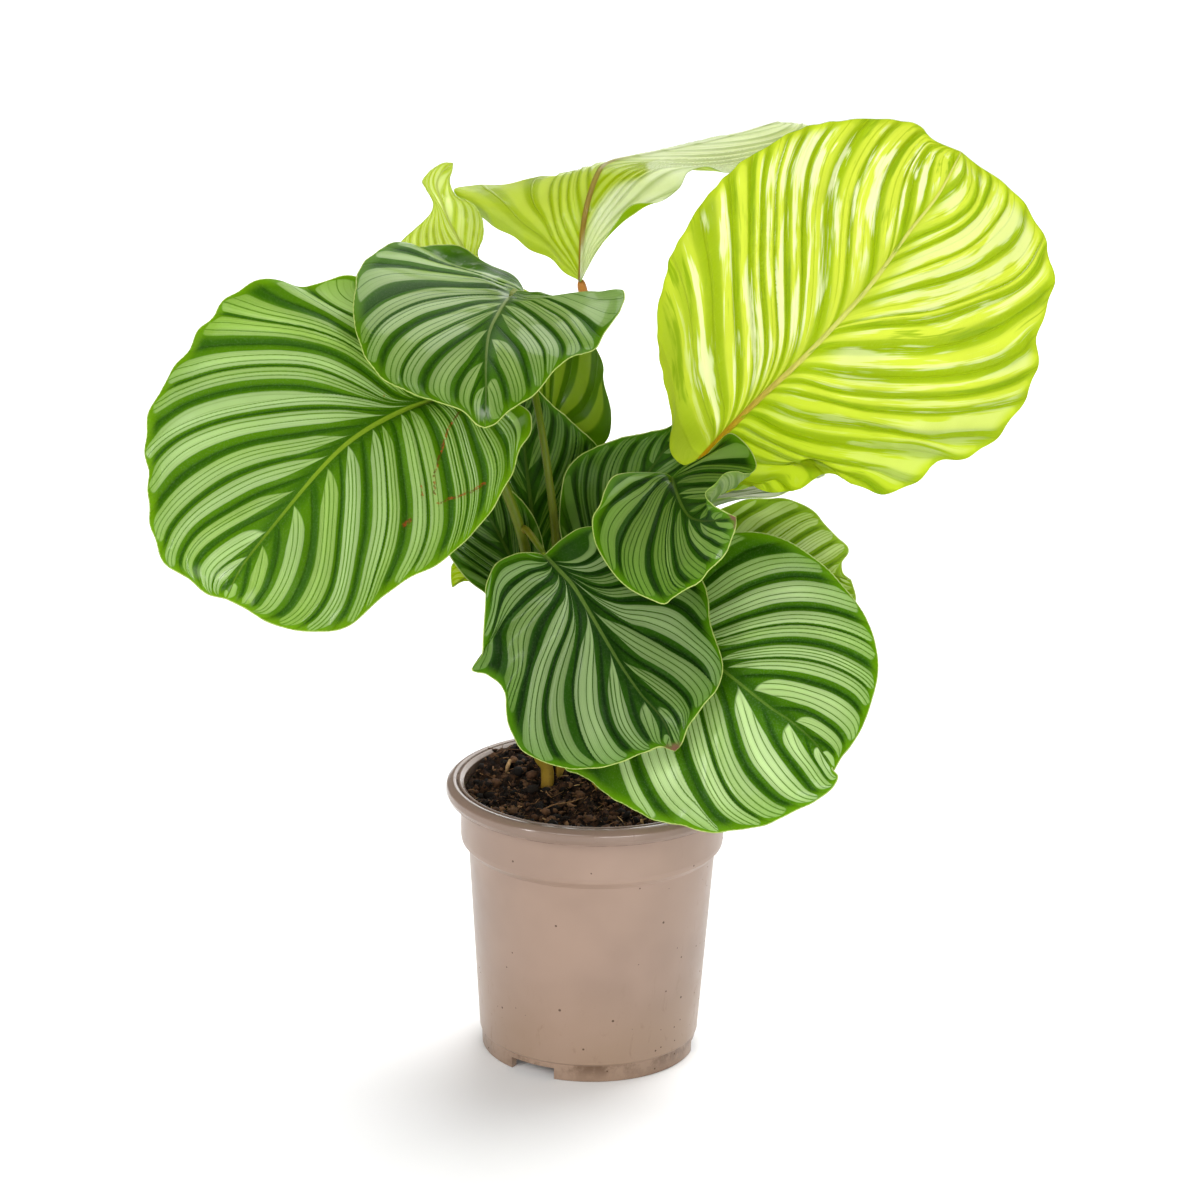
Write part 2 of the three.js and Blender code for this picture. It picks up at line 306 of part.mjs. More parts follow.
// -------------------------------------------------------------------- blades
// The upper face is a net of strips from the midrib to each edge; the rounded
// base lobes reach back past the stalk. The solid is that net given thickness.
function blade(leaf) {
  const mid = leaf.mid.map(v3);
  const joint = mid[0], tip = mid[mid.length - 1];
  const M = through(mid);
  const rows = BLADE_ROWS, cols = BLADE_COLS;
  const side = (outline, w0) => {
    const E = through([joint, ...outline.map(v3), tip]);
    const Ew0 = E(w0);
    return (u, v) => {
      const base = E(w0 * v).sub(joint.clone().multiplyScalar(1 - v)).sub(Ew0.clone().multiplyScalar(v));
      return M(u).multiplyScalar(1 - v).add(E(w0 + (1 - w0) * u).multiplyScalar(v))
        .add(base.multiplyScalar((1 - u) ** 1.5));
    };
  };
  const left = side(leaf.left, leaf.w0[0]), right = side(leaf.right, leaf.w0[1]);
  const width = 2 * cols + 1;
  const net = [];
  for (let i = 0; i < rows; i++) {
    const u = (i / rows) ** 0.95;
    for (let j = 0; j < width; j++) {
      const v = (j - cols) / cols;
      net.push(v < 0 ? left(u, -v) : right(u, v));
    }
  }
  const tipIndex = net.length;
  net.push(tip.clone());
  const faces = [];
  for (let i = 0; i < rows - 1; i++) {
    for (let j = 0; j < width - 1; j++) {
      const a = i * width + j, b = a + 1, c = a + width, d = c + 1;
      if (j < cols) { faces.push([a, b, c], [b, d, c]); } else { faces.push([a, b, d], [a, d, c]); }
    }
  }
  for (let j = 0; j < width - 1; j++) {
    const a = (rows - 1) * width + j;
    faces.push([a, a + 1, tipIndex]);
  }
  const normals = net.map(() => new THREE.Vector3());
  for (const [a, b, c] of faces) {
    const n = net[b].clone().sub(net[a]).cross(net[c].clone().sub(net[a]));
    normals[a].add(n); normals[b].add(n); normals[c].add(n);
  }
  const count = net.length;
  const pos = [];
  for (const s of [0.5, -0.5]) {
    net.forEach((p, i) => {
      const q = p.clone().addScaledVector(normals[i].normalize(), s * BLADE_THICKNESS);
      pos.push(q.x, q.y, q.z);
    });
  }
  const index = [];
  for (const [a, b, c] of faces) index.push(a, b, c, a + count, c + count, b + count);
  const rim = [];
  for (let j = 0; j < width - 1; j++) rim.push(j);
  for (let i = 0; i < rows; i++) rim.push(i * width + width - 1);
  rim.push(tipIndex);
  for (let i = rows - 1; i > 0; i--) rim.push(i * width);
  for (let k = 0; k < rim.length; k++) {
    const a = rim[k], b = rim[(k + 1) % rim.length];
    index.push(a, a + count, b, b, a + count, b + count);
  }
  const g = new THREE.BufferGeometry();
  g.setAttribute('position', new THREE.Float32BufferAttribute(pos, 3));
  g.setIndex(index);
  g.computeVertexNormals();
  return g;
}
for (const leaf of LEAVES) add('leaf_' + leaf.name, blade(leaf), BLADE_COLOR[leaf.name], 0.4);

export default group;
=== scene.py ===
import math
import random

import bpy
import bmesh
import numpy as np
from mathutils import Matrix, Vector, noise


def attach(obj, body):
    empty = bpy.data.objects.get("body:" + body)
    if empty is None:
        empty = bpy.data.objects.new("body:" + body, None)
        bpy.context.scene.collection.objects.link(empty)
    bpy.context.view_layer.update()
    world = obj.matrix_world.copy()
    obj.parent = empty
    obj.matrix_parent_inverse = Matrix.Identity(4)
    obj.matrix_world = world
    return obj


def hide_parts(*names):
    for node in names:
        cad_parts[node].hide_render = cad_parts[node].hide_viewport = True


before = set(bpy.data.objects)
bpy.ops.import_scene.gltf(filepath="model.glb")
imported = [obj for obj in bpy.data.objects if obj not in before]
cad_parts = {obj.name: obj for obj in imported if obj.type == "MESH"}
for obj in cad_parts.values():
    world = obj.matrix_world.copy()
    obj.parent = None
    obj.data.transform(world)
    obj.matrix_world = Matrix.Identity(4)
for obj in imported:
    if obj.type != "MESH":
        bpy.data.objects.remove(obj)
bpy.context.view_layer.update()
MM = 0.001
scene = bpy.context.scene

# ---------------------------------------------------------------- camera data
FOCAL_PX = 4600.0                       # for a frame 1200 px wide
PITCH, ROLL = math.radians(18.2), math.radians(1.1)
TARGET, DISTANCE = np.array([2.0, 0.0, 272.0]), 2624.0

# ------------------------------------------------------------- leaf outlines
# mid: midrib from stalk to tip. left, right: the edge on each side of it with the
# upper face towards the reader and the tip up, from the stalk round to the tip.
# w0: the share of each edge that is the rounded base lobe.
LEAVES = {
    'left_large': dict(w0=[0.22, 0.22],
        mid=[[-88.2,-22,396], [-111.1,-34,390.8], [-141,-54,376.4], [-178,-78,337.4], [-196.1,-88,314.3], [-203.5,-92,298.7]],
        left=[[-72.5,-26,400.9], [-52.9,-32,397.2], [-38.8,-38,393.4], [-38,-44,384.8], [-43.8,-50,374.9], [-50.1,-57,358.4], [-59.7,-63,342.7], [-81.2,-74,320.8], [-108.4,-81,305.7], [-116.5,-84,300.7], [-135.3,-92,285], [-157.1,-96,281.8], [-180.3,-95,286.8], [-193.6,-93,294]],
        right=[[-83.1,-12,408.3], [-90.6,4,434], [-113.7,16,451.2], [-138,18,454.9], [-153,16,452.8], [-169.7,13,449.7], [-188.9,8,454.7], [-207.9,0,446.5], [-221.3,-8,431.7], [-237.1,-20,409.8], [-247.5,-30,393.9], [-251.9,-38,378.8], [-249.7,-52,354], [-246.2,-68,330.1], [-237.7,-78,313.7], [-224,-84,306.6], [-214.2,-89,300.4]]),
    'top_front': dict(w0=[0.22, 0.22],
        mid=[[-50,36,443.3], [-57.3,-10,442.9], [-62,-38,437.6], [-62.9,-60,427], [-62.3,-75,413.1], [-62.5,-82,396.4]],
        left=[[-40.7,22,447.1], [-26.5,8,448.1], [-1.2,-8,451.5], [11.4,-14,458.5], [12.1,-20,454.9], [7.9,-34,445.9], [1.9,-42,440.5], [-3.4,-50,433.5], [-18.6,-58,429.1], [-25.6,-62,423.8], [-36.2,-70,412.2], [-49.1,-77,405.4], [-57.1,-81,398.4]],
        right=[[-44.6,48,440.9], [-51.2,60,447.2], [-68.6,66,452.4], [-80.7,66,460.9], [-93.1,61,463.7], [-104.2,55,464.3], [-116.3,46,469.2], [-126.3,30,466.6], [-135.3,10,462.1], [-137.8,-14,450.4], [-135.6,-34,436.2], [-130,-45,426.2], [-117.2,-58,414.6], [-91.9,-71,408.5], [-74.7,-78,404], [-66.8,-82,398]]),
    'right_tall': dict(w0=[0.14, 0.14],
        mid=[[57.4,-2,358.1], [69.7,-14,375.9], [89.3,-28,401.8], [108.2,-40,424.4], [128.4,-50,450.2], [147.3,-58,476.3], [165.4,-64,506.1], [180.1,-66,527.3], [191.7,-64,550.8]],
        left=[[55.5,-1,346], [60.9,2,336.3], [69.9,2,338.3], [80.2,-5,348.3], [90.1,-3,341.4], [102.7,-1,338.1], [112,-6,341.6], [123.7,-14,352.4], [133.1,-16,354.4], [143,-14,348.1], [157.4,-12,342.5], [174.4,-16,347.6], [186.3,-23,361.6], [192.2,-25,366.4], [206.1,-25,367.9], [214,-27,374.4], [225.6,-29,386.9], [236.6,-32,407], [241.2,-34,423.7], [240.4,-38,444.2], [247.2,-40,470.4], [242.2,-46,495.4], [231.5,-52,515.6], [216.7,-58,532.3], [200.7,-62,543.4]],
        right=[[48,2,352.6], [40.5,4,359.6], [41.4,4,372.5], [37.5,3,393.2], [31.1,2,429.4], [34.3,0,460.5], [39.4,-4,478.2], [50.9,-10,502.1], [65.7,-18,523.4], [77.8,-24,535.7], [95.3,-32,548.9], [111.6,-38,558.3], [124.8,-44,561.6], [138.6,-48,564.4], [155,-54,565.4], [170,-58,562.7], [176,-61,556.9]]),
    'top_back': dict(w0=[0.25, 0.25],
        mid=[[-12.3,58,444.3], [-11.7,52,475.6], [-9.1,52,492], [-3.8,60,506.4], [1.8,74,509.1], [20.1,100,508.3], [49.1,124,509.4], [78.4,140,513.5], [100.7,150,518.9]],
        left=[[-9,54,452.4], [-2.9,48,465.1], [5.8,44,480.8], [15.8,44,492], [29.9,50,493.2], [42.3,60,499.2], [47.4,72,505.8], [58.4,84,506.2], [70.3,96,500.8], [83.8,110,500.2], [100.3,124,504.5], [113.3,136,511.5], [117.9,142,518.6], [111.7,147,518.6]],
        right=[[-22.1,60,448.9], [-30.3,64,456], [-41.9,70,459.5], [-51.9,77,465.3], [-60.1,84,468.1], [-69.6,92,471.3], [-79.6,98,477.4], [-86.8,102,485.7], [-75.6,113,485.8], [-60.7,120,485.6], [-43.5,128,487.1], [-23.8,136,487.4], [-2.9,146,490.3], [20.5,154,495], [49.8,160,500.8], [73.2,161,507.6]]),
    'back_left_curled': dict(w0=[0.2, 0.2],
        mid=[[-25.1,36,364.9], [-46.4,52,398.6], [-64.6,76,427.5], [-81.4,88,456.1], [-89.2,92,470.3], [-93.3,94,480.4], [-96.4,97,489.1], [-94.3,100,495.5], [-87.5,103,501.4]],
        left=[[-14.1,36,356.2], [-2.5,34,352.3], [4.8,32,359], [6.2,32,374.4], [1.9,34,392.7], [1.1,36,401], [-4.2,40,411.5], [-17.1,54,423.5], [-35.7,68,431.3], [-56.2,80,439.7], [-72.1,86,450.9], [-69.2,84,462], [-69.3,83,471.7], [-73.5,85,479.4], [-79.9,88,483.3], [-85.2,92,484.6], [-87.7,94,488.8], [-88.9,96,493], [-87.9,100,497.4]],
        right=[[-34.2,38,362.4], [-51.7,46,370.5], [-75.1,58,384.5], [-99,74,409.5], [-114.1,88,435.3], [-118,94,453.9], [-109.4,94,463.6], [-103.6,94,469], [-99.1,94,475], [-98.6,95,480.1], [-102.2,98,485.8], [-105.2,100,490.6], [-102.4,102,494.9], [-97.3,103,498.9], [-92.7,104,501.1]]),
    'back_centre': dict(w0=[0.22, 0.22],
        mid=[[-28.2,26,278], [-36.1,28,304.3], [-40.5,30,333.6], [-43.2,32,356.8], [-43.4,30,381.1], [-41.3,28,396.4]],
        left=[[-38.6,28,275.3], [-53.1,30,279.2], [-65.4,32,296.5], [-71.4,34,319.8], [-70.6,34,346.7], [-62.7,32,371.3], [-52.7,30,389.8]],
        right=[[-18.4,26,278.2], [-4.2,26,287.5], [4.6,26,311.8], [6.4,26,335.7], [-1.4,25,356.1], [-17,25,371.2], [-33.2,26,385.9]]),
    'back_right': dict(w0=[0.22, 0.22],
        mid=[[1.9,18,272.1], [8.3,18,299.3], [16.9,18,323.5], [29,19,344.2], [41.2,21,361.7], [51.2,24,372.9]],
        left=[[-3.9,18,275], [-14.4,17,287.2], [-21.6,15,308.7], [-21.3,13,329], [-18.7,12,344.8], [-10.4,12,354.4], [0.3,12,360.5], [13.3,13,365.2], [24,15,366.6], [37.6,18,369.6], [45.5,22,373.3]],
        right=[[12.2,18,273.5], [30.4,20,284.1], [47.2,22,298.9], [59.4,24,319.5], [64.5,26,342.9], [61.7,26,363.6]]),
    'lower_left': dict(w0=[0.22, 0.22],
        mid=[[-39.2,12,260], [-43.9,8,279.3], [-50.9,4,298.4], [-60.2,2,316.7], [-69.5,4,330.8], [-77.6,8,339.5]],
        left=[[-47.2,12,259.2], [-55.8,9,265.5], [-63.2,6,272.3], [-72.9,2,281.2], [-83.8,0,296.6], [-89.1,2,310.2], [-89.3,5,323.5], [-84.4,8,334.6]],
        right=[[-33,14,267.9], [-30.4,14,286], [-32.4,13,306.1], [-41.2,12,324.1], [-55,11,336.6], [-68.6,10,341.4]]),
    'front_centre': dict(w0=[0.17, 0.2],
        mid=[[-29.8,-40,311], [-22.3,-50,306.7], [-13.8,-58,300.1], [-5.1,-66,288.9], [4.6,-74,274.8], [14.9,-81,259.8], [25.2,-86,246.5], [38.2,-89,231.9], [45.3,-89,213.7]],
        left=[[-26,-38,314], [-19.4,-32,318.7], [-11.1,-28,322.9], [-2.7,-25,323.9], [15.3,-26,323.4], [35,-30,318], [50.8,-38,310.2], [59.4,-46,298.9], [62.3,-52,290.3], [63,-57,282], [65.3,-63,274], [70.5,-70,262.4], [70.6,-74,255.5], [67.4,-79,246.6], [60.9,-83,239.1], [52.8,-87,228.5], [48.6,-89,217.4]],
        right=[[-33.7,-40,312.1], [-45.5,-38,310.7], [-56.6,-40,305.2], [-60.9,-44,297.6], [-62.3,-48,287.1], [-62.6,-52,274.2], [-64.1,-54,256], [-69.1,-52,246.3], [-61.1,-58,246.1], [-53.6,-62,242.9], [-50.1,-66,237.9], [-49.4,-68,227.9], [-43.4,-74,211.2], [-34.9,-78,205.1], [-20.2,-82,200.9], [-6.8,-84,200.2], [6,-88,203.1], [19.3,-90,208.8], [28.6,-90,212.6], [36.9,-90,216.3]]),
    'front_small': dict(w0=[0.16, 0.16],
        mid=[[41.1,-20,352], [43.1,-44,351.1], [46.3,-64,348.6], [50.5,-82,347.9], [56.8,-96,350], [65.2,-108,354.5], [74.7,-115,358.5]],
        left=[[48.3,-16,357.4], [57.7,-16,361.7], [62.5,-18,368.2], [69.5,-24,376.5], [74.2,-31,380.9], [79.6,-40,379.6], [84.5,-50,376.3], [86.5,-61,372.7], [84.7,-70,370.1], [80.1,-77,371.6], [74.4,-83,375], [68.3,-89,374.9], [65,-94,371.8], [58.5,-98,366.6], [61.8,-104,362.8], [67.1,-110,360.8]],
        right=[[37.7,-18,353.1], [20.3,-18,353.3], [8.5,-24,353.1], [3.6,-33,347.6], [1,-41,341.2], [-2.8,-46,335.7], [-2,-56,326.6], [2.6,-67,319.7], [12.3,-82,310.8], [21.1,-91,306.9], [30.5,-98,304.8], [37,-103,304.3], [41.8,-107,308.6], [49.3,-111,315.2], [56.7,-113,321.1], [60.3,-114,327.2], [69.3,-115,337.4], [72.8,-115,346.6], [74.8,-115,354]]),
    'right_low': dict(w0=[0.2, 0.2],
        mid=[[24.8,-16,270.6], [47.4,-40,263.6], [71.5,-60,251.9], [85.5,-70,243.8], [98.3,-78,236.3], [110,-84,230.4], [122.9,-90,220.4], [133.8,-93,205.2]],
        left=[[25.8,-12,279.4], [32.8,-8,296.2], [52.3,-8,310.2], [78.1,-12,317.3], [93.2,-16,318.9], [107.7,-22,315.7], [124,-30,307.4], [137.6,-38,296.1], [148.8,-46,283.6], [155.6,-54,271.1], [158,-62,256.1], [156.5,-68,244.6], [151,-76,229.5], [143.3,-84,216.9], [138.2,-89,212.1]],
        right=[[16.5,-16,262.6], [0.3,-18,248], [-12.9,-24,225.7], [-19.3,-32,201.3], [-15.5,-42,185], [-6.9,-49,183.6], [6.3,-63,178.8], [19.9,-76,175], [36.2,-88,172.1], [50.7,-96,171.9], [65.7,-100,170.2], [78.4,-102,171.8], [95,-102,175.7], [110.9,-101,182.8], [125.3,-98,190.3], [133.5,-95,196.4], [136.1,-94,202.6]]),
    'right_middle': dict(w0=[0.2, 0.2],
        mid=[[53,14,292.5], [73,10,293], [92.9,6,292.3], [112.6,0,292.2], [129.5,-5,291.8], [144.2,-9,289.8]],
        left=[[52.9,18,300.2], [60.7,24,312.3], [70.9,27,319.4], [85.6,28,325.4], [97.5,26,326.8], [108.8,22,327.1], [118.4,16,325.5], [124,11,323], [128.6,7,317.8], [135.4,2,312.3], [142.2,-2,306.6], [141.7,-4,303], [139,-4,298.2], [139.7,-6,292.9]],
        right=[[54.4,12,281.2], [61.6,8,267.6], [76.7,4,255.3], [96.8,0,248.6], [116.6,-4,251.6], [133.2,-9,260.8], [144.2,-11,271.3], [147.3,-11,279.2]]),
    'right_back': dict(w0=[0.2, 0.2],
        mid=[[42.4,42,316.6], [58.7,54,319.3], [79.2,70,321.6], [100.1,90,322.1], [118.4,108,320.8], [132.1,124,317.5]],
        left=[[40.1,50,319], [42.5,70,323.3], [55.6,96,326.7], [77.2,120,327.5], [101.4,136,325.7], [122.9,136,321.2]],
        right=[[47.1,38,312.5], [61.8,36,319.5], [66.9,36,322], [84.3,40,322.3], [100.2,50,320.2], [116.9,68,321.1], [132.1,96,320.3]]),
    'left_back_small': dict(w0=[0.2, 0.2],
        mid=[[-43.3,44,257.8], [-55.1,48,262.4], [-66.9,54,265.1], [-76.3,58,264.8], [-84.5,60,258.5]],
        left=[[-44.3,40,254.2], [-54.8,42,257], [-65.5,48,261], [-75,54,264.3], [-80.4,58,261.7]],
        right=[[-43.5,50,262], [-51.9,58,272.1], [-65.5,62,277.9], [-77.8,63,276.1], [-84.1,62,272], [-85.2,61,265.5]]),
}

# ------------------------------------------------------------------- stalks
# foot: where the stalk leaves the soil (None: it leaves another stalk);
# radius: at the foot and at the blade; path: the rest of its centre line.
STALKS = {
    'left_large': dict(foot=[-27, 6], radius=[3.4, 2.9],
        path=[[-31.5,4,175.7], [-37.4,-6,243.1], [-40.4,-12,302.5], [-52.1,-14,340.7], [-68.2,-14,375.5], [-82.9,-15,391.8]]),
    'top_front': dict(foot=[-19, 20], radius=[3.0, 2.2],
        path=[[-18.5,19,176.7], [-20.2,15,218], [-22,9,268.6], [-24.4,6,311.4], [-28.2,6,341.1], [-33.9,9,375.4], [-43.8,24,415.1], [-49.4,34,439.8]]),
    'front_centre': dict(foot=None, radius=[1.7, 1.6],
        path=[[-38.8,-18,319.8], [-34.6,-26,314.1], [-30.5,-34,310.3]]),
    'right_low': dict(foot=[-9, 27], radius=[2.6, 2.1],
        path=[[-5.1,20,176.6], [-2,8,202.5], [3.9,-4,231.2], [11.6,-9,251.1], [20.4,-10,262.5]]),
    'front_small': dict(foot=[2, 4], radius=[2.4, 1.8],
        path=[[6.6,6,209.5], [18.3,2,253.6], [31,-3,303.5], [39.1,-11,341.6]]),
    'right_tall': dict(foot=[11, 12], radius=[3.2, 2.8],
        path=[[15.8,13,207.2], [29.6,11,262.9], [44,7,309.5], [53.4,4,342.1], [55.9,2,352.2]]),
    'right_middle': dict(foot=[18, 22], radius=[2.3, 1.9],
        path=[[21.7,24,203.4], [36.8,24,252.7], [49.8,19,284.8]]),
    'back_right': dict(foot=[4, 26], radius=[2.5, 2.2],
        path=[[4.2,27,208.2], [2,25,263.8]]),
    'back_centre': dict(foot=[-27, 22], radius=[2.6, 2.3],
        path=[[-29,30,212.6], [-28.2,32,270]]),
    'back_left_curled': dict(foot=[-17, 30], radius=[2.6, 2.1],
        path=[[-19.2,42,202.4], [-18.9,46,256.5], [-21,46,317.1], [-24.5,42,356.7]]),
    'top_back': dict(foot=[-6, 38], radius=[2.8, 2.4],
        path=[[-5.8,50,199.9], [-3.8,56,253.5], [-4.5,60,325.3], [-7.3,62,384.7], [-9.9,62,432.2], [-11.7,61,440]]),
    'lower_left': dict(foot=[-28.5, 15], radius=[2.0, 1.7],
        path=[[-30.7,17,180.2], [-35.1,17,210.9], [-37.8,15,235.9], [-38.8,13,256]]),
    'right_back': dict(foot=[14, 38], radius=[2.2, 1.9],
        path=[[21.7,46,201.9], [34,50,256.2], [40.3,48,308.7]]),
    'left_back_small': dict(foot=[-33, 32], radius=[1.8, 1.6],
        path=[[-41.4,44,201.3], [-43.3,45,253.8]]),
}

# Side veins. A vein that leaves the midrib at the fraction t runs as
# u = t + (1 - t)(a0 + a1 t) v^(p0 + p1 t), so it sweeps forward towards the edge;
# t < 0 is the fan of veins that leave the joint and fill the base lobe. WAVE bends
# them a little more: shifts of t in thousandths, rows along the leaf, columns from
# the midrib out. PALE lists the pale patches: start, end, hairline veins between,
# and for some how far those shift near the midrib and near the edge.
LOBE = 0.12
VEINS = {
    'left_large': ((0.277, 0.725, 1.261, -0.001), (0.638, 0.382, 0.54, 0)),
    'top_front': ((0.509, 0.382, 0.787, 0), (0.529, 0.503, 0.887, 0)),
    'right_tall': ((0.08, 0.923, 0.546, 0.112), (0.492, 0.503, 0.435, 0.103)),
    'front_centre': ((0.766, 0.273, 0.393, 0), (0.777, 0.212, 0.437, 0)),
    'right_low': ((0.316, 0.685, 1.025, 0.001), (0.659, 0.329, 0.685, 0)),
    'front_small': ((0.471, 0.308, 1, 0), (0.398, 0.426, 0.915, -0.122)),
    'right_middle': ((0.488, 0.427, 0.663, 0), (0.52, 0.44, 0.72, 0)),
    'top_back': ((0.502, 0.438, 0.94, 0), (0.5, 0.44, 0.85, 0)),
    'back_left_curled': ((0.5, 0.44, 0.85, 0), (0.52, 0.42, 0.8, 0)),
    'back_centre': ((0.54, 0.44, 0.75, 0), (0.559, 0.438, 0.73, 0)),
    'back_right': ((0.49, 0.436, 0.98, 0), (0.5, 0.44, 0.85, 0)),
    'lower_left': ((0.52, 0.42, 0.8, 0), (0.52, 0.42, 0.8, 0)),
    'right_back': ((0.52, 0.42, 0.8, 0), (0.52, 0.42, 0.8, 0)),
    'left_back_small': ((0.52, 0.42, 0.8, 0), (0.52, 0.42, 0.8, 0)),
}
WAVE = {
    'left_large': ([[-54, -34, -12, -11, -19, -36],
         [-14, -20, -7, -6, -5, -19],
         [26, 7, -4, 0, -1, -16],
         [58, 28, 12, 8, -5, -23],
         [79, 52, 22, 2, -13, -29],
         [81, 56, 23, -3, -11, -21],
         [67, 37, 17, -4, 6, -3],
         [48, 18, 5, 5, 17, 18]],
        [[-15, 18, 14, -3, -9, 8],
         [-14, 1, 18, 28, 27, 9],
         [-6, 10, 22, 18, 12, -11],
         [7, 21, 17, 12, -12, -38],
         [15, 17, 15, 12, -16, -54],
         [21, 22, 20, 8, -24, -60],
         [26, 29, 27, -1, -30, -58],
         [32, 35, 28, -4, -32, -51]]),
    'top_front': ([[-12, -13, 8, -9, 4, 32],
         [3, 8, -1, 8, 8, 3],
         [11, 12, 4, 12, 8, -10],
         [11, 9, 12, 11, 11, 2],
         [13, 13, 10, 5, 9, 37],
         [10, 10, -4, -10, 22, 81],
         [-1, -7, -15, -9, 39, 107],
         [-16, -25, -22, 0, 55, 124]],
        [[53, 6, -27, -24, -20, -8],
         [64, 44, -1, -2, 3, -13],
         [71, 56, -6, -7, 3, -4],
         [70, 35, 2, 3, 6, 0],
         [72, 35, 16, 6, 6, -1],
         [81, 54, 24, -2, -5, -6],
         [92, 66, 26, 0, -10, -15],
         [104, 72, 29, 0, -15, -25]]),
    'right_tall': ([[-9, -19, -21, -3, 12, 42],
         [-1, -7, -16, -7, 6, 19],
         [4, 4, -4, 3, 4, -12],
         [6, 10, 11, 13, 8, -29],
         [19, 19, 25, 22, 13, -38],
         [48, 53, 40, 9, -9, -33],
         [82, 77, 46, -12, -23, -17],
         [117, 91, 50, -6, -26, -11]],
        [[-26, -34, -44, -47, -50, -52],
         [-18, -18, -16, -18, -22, -26],
         [-8, -6, 0, 10, 6, -35],
         [-1, 10, 15, 12, -10, -47],
         [1, 20, 21, 6, -22, -44],
         [-2, 10, 15, 2, -16, -29],
         [-6, -1, 5, 3, -4, -10],
         [-12, -8, -2, 2, 4, 8]]),
    'front_centre': ([[-33, -39, -34, -14, -8, -11],
         [-9, -2, 15, 11, 0, -17],
         [10, 17, 24, 8, -6, -18],
         [25, 29, 24, -2, -16, -16],
         [30, 30, 10, -4, -15, -12],
         [22, 15, -2, -2, -2, -4],
         [4, -2, -6, 1, 6, 6],
         [-17, -16, -9, 1, 10, 16]],
        [[-18, 5, 11, 11, 0, 7],
         [0, 27, 41, 39, 38, 27],
         [23, 36, 50, 29, 32, 31],
         [43, 52, 46, 11, 12, 22],
         [49, 60, 32, -4, -3, 6],
         [31, 36, 19, -3, -9, -8],
         [-5, 5, 12, 1, -13, -17],
         [-45, -29, -2, 4, -10, -25]]),
    'right_low': ([[-137, -96, -52, 0, 31, 44],
         [-88, -65, -38, 5, 31, 25],
         [-39, -34, -14, 11, 17, 3],
         [8, 0, 6, 6, 0, 2],
         [50, 33, 8, -4, -3, 6],
         [75, 53, 6, -11, -3, 2],
         [80, 50, 22, 0, -18, -17],
         [78, 52, 40, 8, -24, -41]],
        [[-17, -28, -34, -39, -71, -80],
         [-7, -25, -30, -21, -21, -47],
         [3, -17, -13, 2, 2, -22],
         [13, 6, 16, 6, -4, -6],
         [22, 24, 9, -4, 8, 17],
         [20, 22, -18, -14, 25, 33],
         [-1, -1, -18, -4, 22, 36],
         [-32, -26, -5, 2, 15, 35]]),
    'front_small': (None,
        [[54, 24, 5, -5, -23, -37],
         [70, 34, -4, 4, 8, -32],
         [82, 41, 2, 1, 3, -19],
         [85, 26, 1, 8, 8, 4],
         [82, 32, 7, -3, 2, 32],
         [74, 33, -5, -8, 2, 48],
         [57, 22, -6, -2, 6, 47],
         [35, 13, 4, 1, 12, 39]]),
    'right_middle': ([[-36, -29, -24, -24, -50, -57],
         [-59, -48, -34, -10, 2, 8],
         [-81, -64, -43, -4, 40, 75],
         [-102, -79, -50, 2, 57, 126],
         [-119, -91, -54, 1, 74, 159],
         [-134, -101, -59, -2, 73, 155],
         [-146, -110, -53, 3, 67, 136],
         [-158, -113, -50, 5, 59, 115]],
        None),
}
